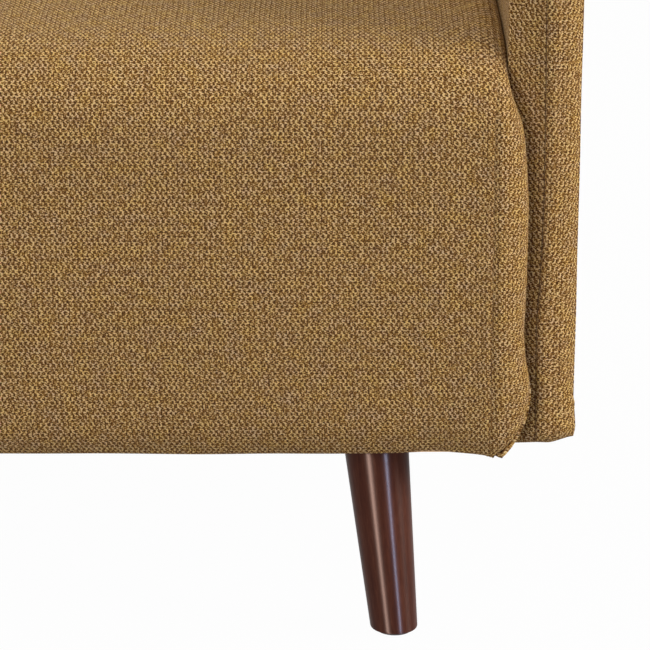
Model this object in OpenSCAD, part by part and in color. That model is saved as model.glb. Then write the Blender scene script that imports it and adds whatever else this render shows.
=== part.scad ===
// Sofa with a bench seat, slim panel arms, a raked back and splayed wooden legs.
// +X is the right side seen from the front, +Y is the back, +Z is up, and the
// origin is on the floor under the centre of the sofa.

/* [Overall] */
// Width over the two arms
sofa_width = 1800; // [1600:10:2000]
// Depth from the seat front to the back's rear top edge
sofa_depth = 820; // [800:5:860]
// Height of the back above the floor
sofa_height = 830; // [800:5:860]
// Bottom edge of the upholstery above the floor
hem_height = 144; // [138:1:156]
// Top of the seat above the floor
seat_height = 460; // [450:1:475]
// Depth from the back cushions' front, at the seat, to the back's rear top edge
back_depth = 270; // [255:5:280]

/* [Arms] */
// Height of an arm at its front
arm_height = 575; // [550:5:600]
// How far the arm's front stands behind the seat front
arm_setback = 27; // [22:1:34]
// Rise of the arm's top towards the back, in degrees
arm_slope = 2; // [0:0.5:4]
// Radius of an arm's top front corner
arm_front_r = 62; // [40:1:80]
// Radius of an arm's top rear corner
arm_rear_r = 24; // [14:1:40]
// Radius of an arm's lower corners
arm_low_r = 12; // [10:1:20]
// Thickness of the boards in an arm frame
arm_board_t = 22; // [18:1:26]
// Width of the posts and the top rail of an arm frame
arm_board_w = 55; // [48:1:62]
// Width of the arm frame's bottom rail, which takes the bolts
arm_sill_w = 95; // [85:1:110]
// Foam on the inner face of an arm
arm_inner_foam_t = 13; // [10:1:16]
// Foam on the outer face of an arm
arm_outer_foam_t = 8; // [6:1:12]
// Foam over the edges of an arm frame
arm_edge_foam_t = 8; // [6:1:12]
// Hardboard skins of an arm
skin_t = 3; // [2:0.5:4]

/* [Seat] */
// Thickness of the seat rails
rail_t = 22; // [20:1:25]
// Height of the seat rails
rail_h = 130; // [124:1:136]
// Foam on the face of the front rail
front_foam_t = 6; // [5:0.5:8]
// Height of the stretchers under the springs
stretcher_h = 90; // [70:1:100]
// Size of a corner block along the rails
block_l = 88; // [84:1:100]
// Height of a corner block
block_h = 45; // [40:1:55]
// Width that the seat spreads past each arm's inner face, in front of the arm
seat_overhang = 15; // [10:1:18]

/* [Springs] */
// Number of zigzag seat springs
spring_count = 11; // [9:2:13]
// Distance between two cross bars of a spring
spring_pitch = 24; // [22:1:26]
// Width of a spring over its bends
spring_w = 52; // [46:1:60]
// Thickness of the springs' square wire
wire_t = 3.8; // [3.2:0.1:4.2]
// Felt pad over the springs
pad_t = 5; // [3:0.5:6]

/* [Upholstery] */
// Thickness of the woven cover
cover_t = 1.5; // [1:0.1:2]
// Fibre wadding under the cover
wadding_t = 5; // [3:0.5:6]
// Thickness of the dust cover under the seat
dust_t = 0.8; // [0.5:0.1:1.2]
// Radius of the seat's front roll
roll_r = 55; // [45:1:65]
// Radius of the seat's long top edges beside the arms
seat_side_r = 40; // [30:1:50]
// Radius of the seat's top edge in front of the back cushions
seat_rear_r = 20; // [12:1:30]
// Radius of the hem
hem_r = 12; // [10:1:14]

/* [Back] */
// Rake of the back's rear face, in degrees
back_rake = 9; // [8:0.5:10]
// Lean of the back cushions' front face, in degrees
back_lean = 19; // [17:0.5:20]
// Thickness of the boards in the back frame
back_board_t = 25; // [22:1:28]
// Width of the rails and the depth of the side posts of the back frame
back_board_w = 60; // [56:1:66]
// Radius of the back's rear top edge
rear_top_r = 28; // [20:1:34]
// Radius of the back cushions' front top edge
back_front_r = 45; // [30:1:60]
// Radius where a back cushion leaves the seat
back_kink_r = 30; // [20:1:60]
// Radius of the back's top outer corners
back_side_r = 34; // [20:1:45]
// Radius of the cushions' top corners at the seam between them
back_seam_r = 26; // [14:1:40]
// Cardboard liner under the rear cover
liner_t = 3; // [2:0.5:4]
// Number of webbing straps in the back
strap_count = 10; // [8:2:12]
// Width of a webbing strap
strap_w = 50; // [40:1:60]
// Thickness of a webbing strap
strap_t = 2; // [1.5:0.1:2.5]

/* [Legs] */
// Diameter of a leg at its top
leg_top_d = 45; // [40:1:50]
// Diameter of a leg at the floor
leg_foot_d = 34.5; // [30:0.5:38]
// Splay of a leg, along the diagonal of the seat, in degrees
leg_splay = 8; // [5:0.5:9]
// Leg axis from the arm's outer face, at the hem
leg_inset_x = 143; // [138:1:160]
// Leg axis from the front and rear of the upholstery, at the hem
leg_inset_y = 46; // [45:1:50]
// Glide under each foot
glide_t = 2; // [1.5:0.5:3]
// Radius of a glide
glide_r = 14; // [11:0.5:14.5]
// Diameter of the middle leg
centre_leg_d = 40; // [34:1:44]
// Side of a leg's mounting plate
plate_w = 50; // [46:1:52]
// Thickness of a leg's mounting plate
plate_t = 2.5; // [2:0.5:3]

/* [Fasteners] */
// Radius of the leg bolts and the arm bolts
bolt_r = 4; // [3:0.5:4]
// Arm bolts from the front rail's rear face and from the seat's rear end
bolt_inset = 95; // [92:1:110]
// Height of the arm bolts above the seat rails' lower edge
bolt_rise = 62; // [60:1:75]
// Distance between the bolts through the back's side posts
back_bolt_pitch = 110; // [90:5:120]
// Radius of the wood screws
screw_r = 2; // [1.5:0.25:2.25]
// Length of the wood screws
screw_l = 20; // [14:1:24]

/* [Hidden] */

// Room between soft parts that touch, and around hardware
gap = 0.4;
hole_gap = 0.1;
// How far a cutting shape runs past what it cuts
past = 60;
arc_steps = 8;
round_fn = 48;
fabric = "#a07a45";
pine = "#d9b886";
walnut = "#4b2a20";
steel = "#b8babd";
foam = "#efe6c8";
board = "#a98a63";
fibre = "#f2f1ec";
black_cloth = "#26262a";

// ---- derived places ----
front_y = -sofa_depth / 2;
seat_back_y = sofa_depth / 2 - back_depth;
arm_front_y = front_y + arm_setback;
arm_outer_x = sofa_width / 2;
arm_t = 2 * cover_t + arm_outer_foam_t + arm_inner_foam_t + 2 * skin_t + arm_board_t;
arm_inner_x = arm_outer_x - arm_t;
arm_seam_x = arm_outer_x - arm_t / 2;
arm_board_x = arm_inner_x + cover_t + arm_inner_foam_t + skin_t;
arm_inset = cover_t + arm_edge_foam_t;
seat_half = arm_inner_x - gap;
// The lip is the part of the seat that spreads in front of the arms
lip_half = seat_half + seat_overhang;
lip_back_y = arm_front_y - gap;
skin_in = cover_t + wadding_t;
base_half = seat_half - skin_in;
base_z = hem_height + cover_t;
rail_top = base_z + rail_h;
rail_front_y = front_y + skin_in + front_foam_t;
clip_t = 1.2;
clip_gap = 0.2;
clip_w = 16;
clip_reach = 5;
clip_slot = wire_t / 2 + clip_gap;
clip_h = 2 * (clip_slot + clip_t);
spring_z = rail_top + clip_h / 2;
pad_z = rail_top + clip_h;
foam_z = pad_z + pad_t;

// Rear face of the sofa: a raked plane that the rounded top edge just reaches
rear_corner = [sofa_depth / 2 - rear_top_r, sofa_height - rear_top_r];
rear_d = rear_corner * unit(-back_rake) + rear_top_r;
function rear_y(z, depth = 0) = (rear_d - depth + z * sin(back_rake)) / cos(back_rake);
spring_rail_y = seat_back_y + 10;
spring_room = 2 * (base_half - rail_t);
spring_bars = floor((spring_rail_y - rail_front_y) / spring_pitch) + 1;
spring_run = (spring_bars - 1) * spring_pitch;
spring_start = (rail_front_y + spring_rail_y + rail_t - spring_run) / 2;

// Back cushions
back_z = foam_z;
back_front_y = seat_back_y + gap;
back_kink = [back_front_y, seat_height - 15];
back_front_d = back_kink * unit(180 - back_lean);
rear_seam_z = rear_corner[1] - rear_top_r * sin(back_rake);
back_frame_top = sofa_height - 36;
frame_depth = cover_t + liner_t;
strap_depth = frame_depth + back_board_t;
post_depth = frame_depth + back_board_w;
back_foam_depth = strap_depth + strap_t + gap;
back_inner_x = base_half - rail_t;
strap_pitch = 2 * back_inner_x / strap_count;

// Legs
splay_run = tan(leg_splay) * cos(45);
plate_z = base_z - plate_t;
leg_top_z = plate_z - leg_top_d / 2 * sin(leg_splay);
leg_l = leg_top_z / cos(leg_splay);
boss_r = bolt_r + 3.5;
boss_h = 16;
wedge_r = leg_top_d / 2 - 5;
leg_bolt_l = 60;
nail_r = 1.1;
nail_l = 14;
leg_ys = [front_y + leg_inset_y, rear_y(hem_height) - leg_inset_y - 10];
plate_screw_at = plate_w / 2 - 7;
screw_head_h = 1.6;

// Arm and back bolts
bolt_z = base_z + bolt_rise;
seat_bolt_ys = [rail_front_y + rail_t + bolt_inset, seat_back_y - bolt_inset];
back_bolt_zs = [rail_top + back_bolt_pitch, rail_top + 2 * back_bolt_pitch];
back_bolt_depth = (frame_depth + post_depth) / 2;
washer_r = 11;
washer_t = 2;
head_r = 6.5;
head_h = 5;
nut_flange_r = 9.5;
nut_flange_t = 1.5;
nut_barrel_r = bolt_r + 1.4;
nut_l = 14;
bolt_pocket_l = 12;
joint_plate_w = 24;
joint_plate_h = 44;

// ---- outlines ----
// An outline is a list of edges, each [angle of its outward normal, distance],
// counter-clockwise, with the radius of the corner after each edge.
function unit(a) = [cos(a), sin(a)];
function meet(a1, d1, a2, d2) =
    [d1 * sin(a2) - d2 * sin(a1), d2 * cos(a1) - d1 * cos(a2)] / sin(a2 - a1);
function rounded(edges, radii, inset = 0) = [
    for (k = [0 : len(edges) - 1])
        let (
            e = edges[k],
            last = k == len(edges) - 1,
            f = edges[last ? 0 : k + 1],
            f_angle = f[0] + (last ? 360 : 0),
            r = max(radii[k], inset),
            c = meet(e[0], e[1] - r, f[0], f[1] - r),
            steps = r - inset > 0.01 ? arc_steps : 0
        )
        for (j = [0 : steps])
            c + (r - inset) * unit(e[0] + (f_angle - e[0]) * (steps == 0 ? 0 : j / steps))
];
function seat_outline(inset, open_bottom = false) = rounded(
    [[-90, -hem_height + (open_bottom ? past : 0)], [0, seat_back_y], [90, seat_height],
     [180, -front_y]],
    [0, seat_rear_r, roll_r, open_bottom ? 0 : hem_r], inset);
function seat_section(half, inset) = rounded(
    [[-90, -hem_height + past], [0, half], [90, seat_height], [180, half]],
    [0, seat_side_r, seat_side_r, 0], inset);
function arm_outline(inset) = rounded(
    [[-90, -hem_height], [-back_rake, rear_d],
     [90 + arm_slope, [arm_front_y, arm_height] * unit(90 + arm_slope)],
     [180, -arm_front_y]],
    [arm_low_r, arm_rear_r, arm_front_r, arm_low_r], inset);
function back_outline(inset) = rounded(
    [[-90, inset - back_z], [-back_rake, rear_d], [90, sofa_height],
     [180 - back_lean, back_front_d], [180, -back_front_y]],
    [0, rear_top_r, back_front_r, back_kink_r, 0], inset);
function back_section(inset) = rounded(
    [[-90, -back_z + past], [0, seat_half], [90, sofa_height], [180, -gap / 2]],
    [0, back_side_r, back_seam_r, 0], inset);

// ---- helpers ----
module box(x, y, z) {
    translate([x[0], y[0], z[0]]) cube([x[1] - x[0], y[1] - y[0], z[1] - z[0]]);
}
// An outline in the Y-Z plane, extruded from x[0] to x[1]
module slab(x, points) {
    translate([x[0], 0, 0]) rotate([90, 0, 90]) linear_extrude(x[1] - x[0]) polygon(points);
}
// An outline in the X-Z plane, extruded over the whole depth
module through_y(points) {
    translate([0, sofa_depth, 0]) rotate([90, 0, 0]) linear_extrude(2 * sofa_depth) polygon(points);
}
// side is 1 for the right and -1 for the left
module on_side(side) {
    mirror([side < 0 ? 1 : 0, 0, 0]) children();
}
// Y is then the depth in front of the rear face, and Z runs up the rake
module raked() {
    translate([0, rear_y(0), 0]) rotate([-back_rake, 0, 0]) children();
}
// A board against the raked rear face, depths counted forward from that face
module raked_board(x, depth, z) {
    intersection() {
        raked() box(x, [-depth[1], -depth[0]], [0, 2 * sofa_height]);
        box([x[0] - 1, x[1] + 1], [-sofa_depth, sofa_depth], z);
    }
}

// What lies more than this depth in front of the raked rear face
module ahead_of(depth) {
    intersection() {
        children();
        raked() box([-sofa_width, sofa_width], [-2 * sofa_depth, -depth], [-sofa_depth, 2 * sofa_depth]);
    }
}

// ---- seat padding ----
module seat_form(half, inset, open_bottom) {
    intersection() {
        slab([-half + inset, half - inset], seat_outline(inset, open_bottom));
        through_y(seat_section(half, inset));
    }
}
module seat_solid(inset, open_bottom = false) {
    seat_form(seat_half, inset, open_bottom);
    intersection() {
        seat_form(lip_half, inset, open_bottom);
        box([-sofa_width, sofa_width], [front_y - 1, lip_back_y - inset], [-1, sofa_height]);
    }
}
// The room for the seat frame, the springs and the pad
module seat_frame_room() {
    box([-base_half, base_half], [rail_front_y, seat_back_y + 1], [base_z - past, foam_z]);
}
module seat_cover() {
    return_w = 16;
    color(fabric) difference() {
        seat_solid(0);
        seat_solid(cover_t);
        box([-seat_half + return_w, seat_half - return_w],
            [front_y + return_w, seat_back_y + 1], [hem_height - 1, base_z + 1]);
        seat_frame_room();
        bolt_holes(bolt_r + gap);
    }
}
module seat_wadding() {
    color(fibre) difference() {
        seat_solid(cover_t);
        seat_solid(skin_in, true);
        seat_frame_room();
        bolt_holes(bolt_r + gap);
    }
}
module seat_foam() {
    color(foam) intersection() {
        seat_solid(skin_in);
        box([-sofa_width, sofa_width], [front_y, seat_back_y], [foam_z, seat_height]);
    }
}
module front_foam() {
    color(foam) difference() {
        intersection() {
            seat_solid(cover_t);
            seat_solid(skin_in, true);
            box([-sofa_width, sofa_width], [front_y, seat_back_y], [base_z, foam_z]);
        }
        seat_frame_room();
    }
}

// ---- seat frame ----
module front_rail() {
    color(pine) difference() {
        box([-base_half, base_half], [rail_front_y, rail_front_y + rail_t], [base_z, rail_top]);
        plate_screw_holes();
    }
}
module rear_rail() {
    color(pine) difference() {
        raked_board([-base_half, base_half], [frame_depth, strap_depth], [base_z, rail_top]);
        joint_plate_screws(screw_r, 1);
    }
}
module side_rail(side) {
    color(pine) on_side(side) difference() {
        ahead_of(strap_depth)
            box([base_half - rail_t, base_half], [rail_front_y + rail_t, sofa_depth], [base_z, rail_top]);
        bolt_holes(bolt_r + gap);
    }
}
module spring_rail() {
    color(pine) box([-base_half + rail_t, base_half - rail_t],
        [spring_rail_y, spring_rail_y + rail_t], [base_z, rail_top]);
}
module stretchers() {
    color(pine) difference() {
        ahead_of(strap_depth) for (x = [-1, 0, 1] * base_half / 2) {
            box([x - rail_t / 2, x + rail_t / 2],
                [rail_front_y + rail_t, spring_rail_y], [base_z, base_z + stretcher_h]);
            box([x - rail_t / 2, x + rail_t / 2],
                [spring_rail_y + rail_t, sofa_depth], [base_z, base_z + stretcher_h]);
        }
        centre_bolt(bolt_r, 1);
    }
}
module corner_blocks() {
    color(pine) difference() {
        ahead_of(strap_depth) for (side = [1, -1]) on_side(side) {
            box([back_inner_x - block_l, back_inner_x],
                [rail_front_y + rail_t, rail_front_y + rail_t + block_l], [base_z, base_z + block_h]);
            box([back_inner_x - block_l, back_inner_x],
                [spring_rail_y + rail_t, sofa_depth], [base_z, base_z + block_h]);
        }
        at_legs() translate([0, 0, leg_l]) cylinder(r = boss_r + 2, h = boss_h + 24, $fn = round_fn);
        plate_screw_holes();
    }
}

// ---- springs ----
module at_springs() {
    for (k = [0 : spring_count - 1])
        translate([spring_room * ((k + 0.5) / spring_count - 0.5), spring_start, spring_z]) children();
}
// The zigzag of one spring, seen from above
module spring_outline() {
    straight = spring_w - spring_pitch;
    for (k = [0 : spring_bars - 1]) translate([0, k * spring_pitch]) {
        square([straight, wire_t], center = true);
        if (k < spring_bars - 1) mirror([k % 2, 0])
            translate([straight / 2, spring_pitch / 2]) difference() {
                circle(d = spring_pitch + wire_t, $fn = round_fn);
                circle(d = spring_pitch - wire_t, $fn = round_fn);
                translate([-spring_w, -spring_w / 2]) square(spring_w);
            }
    }
}
module springs() {
    color(steel) at_springs() linear_extrude(wire_t, center = true) spring_outline();
}
// Each clip grips the outermost cross bar of a spring on its rail
module spring_clips() {
    color(steel) at_springs() for (end = [0, 1])
        translate([0, end * spring_run, 0]) rotate([0, 0, 180 * end]) difference() {
            box([-clip_w / 2, clip_w / 2], [-clip_slot - clip_t, clip_reach], [-clip_h / 2, clip_h / 2]);
            box([-clip_w, clip_w], [-clip_slot, clip_reach + 1], [-clip_slot, clip_slot]);
        }
}
module spring_pad() {
    color(board) ahead_of(back_foam_depth)
        box([-base_half, base_half], [rail_front_y, spring_rail_y + rail_t], [pad_z, foam_z]);
}
module dust_cover() {
    color(black_cloth) difference() {
        ahead_of(cover_t) box([-seat_half + hem_r, seat_half - hem_r],
            [front_y + hem_r, sofa_depth], [hem_height - dust_t, hem_height]);
        for (side = [-1, 1], end = [0, 1]) at_hem(side, end)
            cube([plate_w + 2, plate_w + 2, 2 * base_z], center = true);
        cylinder(r = centre_leg_d / 2 + 1, h = base_z, $fn = round_fn);
    }
}

// ---- legs ----
// end is 0 for the front legs and 1 for the rear ones
module at_hem(side, end) {
    translate([side * (arm_outer_x - leg_inset_x), leg_ys[end], 0]) children();
}
module at_foot(side, end) {
    at_hem(side, end)
        translate([side * splay_run * hem_height, (end == 0 ? -1 : 1) * splay_run * hem_height, 0])
            children();
}
// Puts the children's Z axis on a leg's axis, with Z = 0 at the floor
module leg_axis(side, end) {
    at_foot(side, end) rotate(a = leg_splay, v = [end == 0 ? -1 : 1, -side, 0]) children();
}
module at_legs() {
    for (side = [1, -1], end = [0, 1]) leg_axis(side, end) children();
}
module at_feet() {
    for (side = [1, -1], end = [0, 1]) at_foot(side, end) children();
    children();
}
module leg(side, end) {
    grow = (leg_top_d - leg_foot_d) / 2 / leg_l;
    below = leg_foot_d / 2;
    color(walnut) difference() {
        leg_axis(side, end) translate([0, 0, -below]) cylinder(
            r1 = leg_foot_d / 2 - grow * below, r2 = leg_top_d / 2, h = leg_l + below, $fn = 96);
        box([-sofa_width, sofa_width], [-sofa_depth, sofa_depth], [-past, glide_t]);
        leg_axis(side, end) leg_bolt(bolt_r, 1);
        at_feet() glide_nail(nail_r + hole_gap);
    }
}
module centre_leg() {
    color(walnut) difference() {
        translate([0, 0, glide_t])
            cylinder(r1 = leg_foot_d / 2, r2 = centre_leg_d / 2, h = base_z - glide_t, $fn = 96);
        centre_bolt(bolt_r, 1);
        glide_nail(nail_r + hole_gap);
    }
}
// Bolts from the legs' tops into their plates, and from the middle leg into its stretcher
module leg_bolt(r, spare = 0) {
    translate([0, 0, leg_l - leg_bolt_l / 2 - spare])
        cylinder(r = r, h = leg_bolt_l / 2 + boss_h + 2 * spare, $fn = round_fn);
}
module centre_bolt(r, spare = 0) {
    translate([0, 0, base_z - leg_bolt_l / 2 - spare])
        cylinder(r = r, h = leg_bolt_l + 2 * spare, $fn = round_fn);
}
module leg_bolts() {
    color(steel) {
        at_legs() leg_bolt(bolt_r - hole_gap);
        centre_bolt(bolt_r - hole_gap);
    }
}
module glide_nail(r) {
    translate([0, 0, glide_t / 2]) cylinder(r = r, h = nail_l, $fn = round_fn);
}
module leg_glides() {
    color("#2b2522") at_feet() {
        cylinder(r1 = glide_r - glide_t / 2, r2 = glide_r, h = glide_t, $fn = round_fn);
        glide_nail(nail_r);
    }
}
// Each plate has a wedge that seats the leg's top and a boss for its bolt
module leg_plates() {
    color(steel) for (side = [1, -1], end = [0, 1]) difference() {
        union() {
            at_hem(side, end) translate([-plate_w / 2, -plate_w / 2, plate_z])
                cube([plate_w, plate_w, plate_t]);
            intersection() {
                leg_axis(side, end) translate([0, 0, leg_l])
                    cylinder(r = wedge_r, h = boss_h, $fn = round_fn);
                box([-sofa_width, sofa_width], [-sofa_depth, sofa_depth], [0, base_z]);
            }
            leg_axis(side, end) translate([0, 0, leg_l]) cylinder(r = boss_r, h = boss_h, $fn = round_fn);
        }
        leg_axis(side, end) leg_bolt(bolt_r, 1);
        plate_screw_holes();
    }
}
module at_plate_screws() {
    for (side = [1, -1], end = [0, 1], i = [-1, 1], j = [-1, 1])
        at_hem(side, end) translate([i * plate_screw_at, j * plate_screw_at, plate_z]) children();
}
module plate_screw_holes() {
    at_plate_screws() screw(screw_r, 1);
}
// A countersunk screw that points up, with its head flush at Z = 0
module screw(r, spare = 0) {
    cylinder(r = r, h = screw_l + spare, $fn = round_fn);
    translate([0, 0, -spare]) cylinder(r1 = r + screw_r * (1 + spare / screw_head_h), r2 = r,
        h = screw_head_h + spare, $fn = round_fn);
}
module wood_screws() {
    color(steel) {
        at_plate_screws() screw(screw_r - hole_gap);
        joint_plate_screws(screw_r - hole_gap);
    }
}

// ---- arms ----
module between_posts(top) {
    ahead_of(arm_rear_depth) intersection() {
        children();
        box([0, sofa_width], [arm_post_back, sofa_depth], [0, top]);
    }
}
module arm_core(x, inset = arm_inset) {
    slab(x, arm_outline(inset));
}
arm_board_xs = [arm_board_x, arm_board_x + arm_board_t];
arm_post_back = arm_front_y + arm_inset + arm_board_w;
arm_rear_depth = arm_inset + arm_board_w;
arm_sill_top = hem_height + arm_inset + arm_sill_w;
module arm_front_post(side) {
    color(pine) on_side(side) intersection() {
        arm_core(arm_board_xs);
        box([0, sofa_width], [arm_front_y, arm_post_back], [0, sofa_height]);
    }
}
module arm_rear_post(side) {
    color(pine) on_side(side) difference() {
        intersection() {
            arm_core(arm_board_xs);
            raked() box([0, sofa_width], [-arm_rear_depth, 0], [0, sofa_height]);
        }
        tee_nut_holes();
    }
}
module arm_sill(side) {
    color(pine) on_side(side) difference() {
        between_posts(arm_sill_top) arm_core(arm_board_xs);
        tee_nut_holes();
    }
}
module arm_top_rail(side) {
    color(pine) on_side(side) difference() {
        between_posts(sofa_height) arm_core(arm_board_xs);
        slab([0, sofa_width], rounded(
            [[-90, 0], [0, sofa_depth],
             [90 + arm_slope, [arm_front_y, arm_height] * unit(90 + arm_slope) - arm_inset - arm_board_w],
             [180, sofa_depth]], [0, 0, 0, 0]));
    }
}
module arm_inner_board(side) {
    color(board) on_side(side) difference() {
        arm_core([arm_board_x - skin_t, arm_board_x]);
        bolt_holes(bolt_r + gap);
    }
}
module arm_outer_board(side) {
    color(board) on_side(side)
        arm_core([arm_board_x + arm_board_t, arm_board_x + arm_board_t + skin_t]);
}
// Padding and covers are trays that meet at the seam in the middle of the arm's edge
module arm_tray(x_seam, x_face, outer, inner, floor_t) {
    dir = x_face > x_seam ? 1 : -1;
    difference() {
        slab([min(x_seam, x_face), max(x_seam, x_face)], arm_outline(outer));
        slab([min(x_seam - dir, x_face - dir * floor_t), max(x_seam - dir, x_face - dir * floor_t)],
             arm_outline(inner));
    }
}
module arm_inner_foam(side) {
    color(foam) on_side(side) difference() {
        arm_tray(arm_seam_x, arm_inner_x + cover_t, cover_t, arm_inset, arm_inner_foam_t);
        bolt_holes(bolt_r + gap);
    }
}
module arm_outer_foam(side) {
    color(foam) on_side(side)
        arm_tray(arm_seam_x, arm_outer_x - cover_t, cover_t, arm_inset, arm_outer_foam_t);
}
module arm_inner_cover(side) {
    color(fabric) on_side(side) difference() {
        arm_tray(arm_seam_x, arm_inner_x, 0, cover_t, cover_t);
        bolt_holes(bolt_r + gap);
    }
}
module arm_outer_cover(side) {
    color(fabric) on_side(side) arm_tray(arm_seam_x, arm_outer_x, 0, cover_t, cover_t);
}

// ---- bolts between the seat, the back and the arms ----
nut_face_x = arm_board_x + arm_board_t;
head_x = back_inner_x - washer_t;
module at_bolts() {
    for (y = seat_bolt_ys) translate([0, y, bolt_z]) rotate([0, 90, 0]) children();
    for (z = back_bolt_zs)
        translate([0, rear_y(z, back_bolt_depth), z]) rotate([0, 90, 0]) children();
}
module bolt_holes(r) {
    for (side = [1, -1]) on_side(side) at_bolts() translate([0, 0, back_inner_x - 1])
        cylinder(r = r, h = arm_board_x - back_inner_x + 1, $fn = round_fn);
}
module tee_nut_holes() {
    at_bolts() translate([0, 0, arm_board_x - 1])
        cylinder(r = nut_barrel_r, h = arm_board_t + 2, $fn = round_fn);
    at_bolts() translate([0, 0, nut_face_x - nut_flange_t])
        cylinder(r = nut_flange_r, h = nut_flange_t + 1, $fn = round_fn);
}
module tee_nuts() {
    color(steel) for (side = [1, -1]) on_side(side) at_bolts() difference() {
        union() {
            translate([0, 0, nut_face_x - nut_l])
                cylinder(r = nut_barrel_r - hole_gap, h = nut_l, $fn = round_fn);
            translate([0, 0, nut_face_x - nut_flange_t])
                cylinder(r = nut_flange_r - hole_gap, h = nut_flange_t, $fn = round_fn);
        }
        translate([0, 0, nut_face_x - nut_l - 1]) cylinder(r = bolt_r, h = nut_l + 2, $fn = round_fn);
    }
}
module arm_washers() {
    color(steel) for (side = [1, -1]) on_side(side) at_bolts() difference() {
        translate([0, 0, head_x]) cylinder(r = washer_r, h = washer_t, $fn = round_fn);
        translate([0, 0, head_x - 1]) cylinder(r = bolt_r + gap, h = washer_t + 2, $fn = round_fn);
    }
}
module arm_bolts() {
    color(steel) for (side = [1, -1]) on_side(side) at_bolts() {
        translate([0, 0, head_x])
            cylinder(r = bolt_r - hole_gap, h = nut_face_x - head_x - 1, $fn = round_fn);
        translate([0, 0, head_x - head_h]) cylinder(r = head_r, h = head_h, $fn = 6);
    }
}

// ---- back ----
module back_post(side) {
    color(pine) on_side(side) difference() {
        raked_board([back_inner_x, base_half], [frame_depth, post_depth], [rail_top, back_frame_top]);
        bolt_holes(bolt_r + gap);
    }
}
module back_rail(z) {
    color(pine) raked_board([-back_inner_x, back_inner_x], [frame_depth, strap_depth], z);
}
module back_top_rail() {
    back_rail([back_frame_top - back_board_w, back_frame_top]);
}
module back_bottom_rail() {
    color(pine) difference() {
        back_rail([rail_top, rail_top + back_board_w]);
        joint_plate_screws(screw_r, 1);
    }
}
module back_centre_post() {
    color(pine) raked_board([-back_board_w / 2, back_board_w / 2], [frame_depth, strap_depth],
        [rail_top + back_board_w, back_frame_top - back_board_w]);
}
// Straps tacked to the front of the two rails
module back_webbing() {
    color(black_cloth) for (k = [0 : strap_count - 1]) {
        x = strap_pitch * (k + 0.5) - back_inner_x;
        raked_board([x - strap_w / 2, x + strap_w / 2], [strap_depth, strap_depth + strap_t],
            [rail_top + back_board_w / 2, back_frame_top - back_board_w / 4]);
    }
}
module back_liner() {
    color(board) raked_board([-base_half, base_half], [cover_t, frame_depth], [base_z, back_frame_top]);
}
module back_outer_cover() {
    color(fabric) raked_board([-seat_half, seat_half], [0, cover_t], [hem_height, rear_seam_z]);
}
module back_form(inset) {
    intersection() {
        slab([gap / 2 + inset, seat_half - inset], back_outline(inset));
        through_y(back_section(inset));
    }
}
// The room for the back frame and its webbing
module back_frame_room() {
    raked() box([-sofa_width, base_half], [-back_foam_depth, 0],
        [0, (back_frame_top + gap) / cos(back_rake)]);
    raked_board([back_inner_x - gap, base_half], [0, post_depth + gap], [0, back_frame_top + gap]);
}
module back_foam(side) {
    color(foam) on_side(side) difference() {
        back_form(skin_in);
        back_frame_room();
        at_bolts() translate([0, 0, back_inner_x - bolt_pocket_l])
            cylinder(r = washer_r + 3, h = bolt_pocket_l, $fn = round_fn);
        bolt_holes(bolt_r + gap);
    }
}
// A quilted cover, open below, that ends at the rear seam
module back_cover(side) {
    color(fabric) on_side(side) difference() {
        back_form(0);
        back_form(skin_in);
        back_frame_room();
        raked_board([-1, seat_half + 1], [-1, cover_t], [0, rear_seam_z]);
        bolt_holes(bolt_r + gap);
    }
}

// Flat steel plates that tie the back's bottom rail to the rear rail
module at_joint_plates() {
    for (x = [-1, 0, 1] * strap_pitch * floor(0.3 * strap_count)) translate([x, 0, 0]) children();
}
module joint_plates() {
    color(steel) difference() {
        at_joint_plates() raked_board([-joint_plate_w / 2, joint_plate_w / 2],
            [strap_depth, strap_depth + strap_t],
            [rail_top - joint_plate_h / 2, rail_top + joint_plate_h / 2]);
        joint_plate_screws(screw_r, 1);
    }
}
module joint_plate_screws(r, spare = 0) {
    at_joint_plates() for (end = [-1, 1]) {
        z = rail_top + end * joint_plate_h / 3;
        translate([0, rear_y(z, strap_depth + strap_t), z]) rotate([-90 - back_rake, 0, 0])
            screw(r, spare);
    }
}

front_rail();
rear_rail();
side_rail(-1);  // left_rail
side_rail(1);  // right_rail
spring_rail();
stretchers();
corner_blocks();
springs();
spring_clips();
spring_pad();
seat_foam();
front_foam();
seat_wadding();
seat_cover();
dust_cover();
leg(-1, 0);  // leg_front_left
leg(1, 0);  // leg_front_right
leg(-1, 1);  // leg_rear_left
leg(1, 1);  // leg_rear_right
centre_leg();
leg_plates();
leg_bolts();
leg_glides();
wood_screws();
arm_front_post(-1);  // arm_left_front_post
arm_rear_post(-1);  // arm_left_rear_post
arm_top_rail(-1);  // arm_left_top_rail
arm_sill(-1);  // arm_left_sill
arm_inner_board(-1);  // arm_left_inner_board
arm_outer_board(-1);  // arm_left_outer_board
arm_inner_foam(-1);  // arm_left_inner_foam
arm_outer_foam(-1);  // arm_left_outer_foam
arm_inner_cover(-1);  // arm_left_inner_cover
arm_outer_cover(-1);  // arm_left_outer_cover
arm_front_post(1);  // arm_right_front_post
arm_rear_post(1);  // arm_right_rear_post
arm_top_rail(1);  // arm_right_top_rail
arm_sill(1);  // arm_right_sill
arm_inner_board(1);  // arm_right_inner_board
arm_outer_board(1);  // arm_right_outer_board
arm_inner_foam(1);  // arm_right_inner_foam
arm_outer_foam(1);  // arm_right_outer_foam
arm_inner_cover(1);  // arm_right_inner_cover
arm_outer_cover(1);  // arm_right_outer_cover
back_post(-1);  // back_left_post
back_post(1);  // back_right_post
back_centre_post();
back_top_rail();
back_bottom_rail();
back_webbing();
back_liner();
back_foam(-1);  // back_foam_left
back_foam(1);  // back_foam_right
back_cover(-1);  // back_cover_left
back_cover(1);  // back_cover_right
back_outer_cover();
arm_bolts();
arm_washers();
tee_nuts();
joint_plates();
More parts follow.
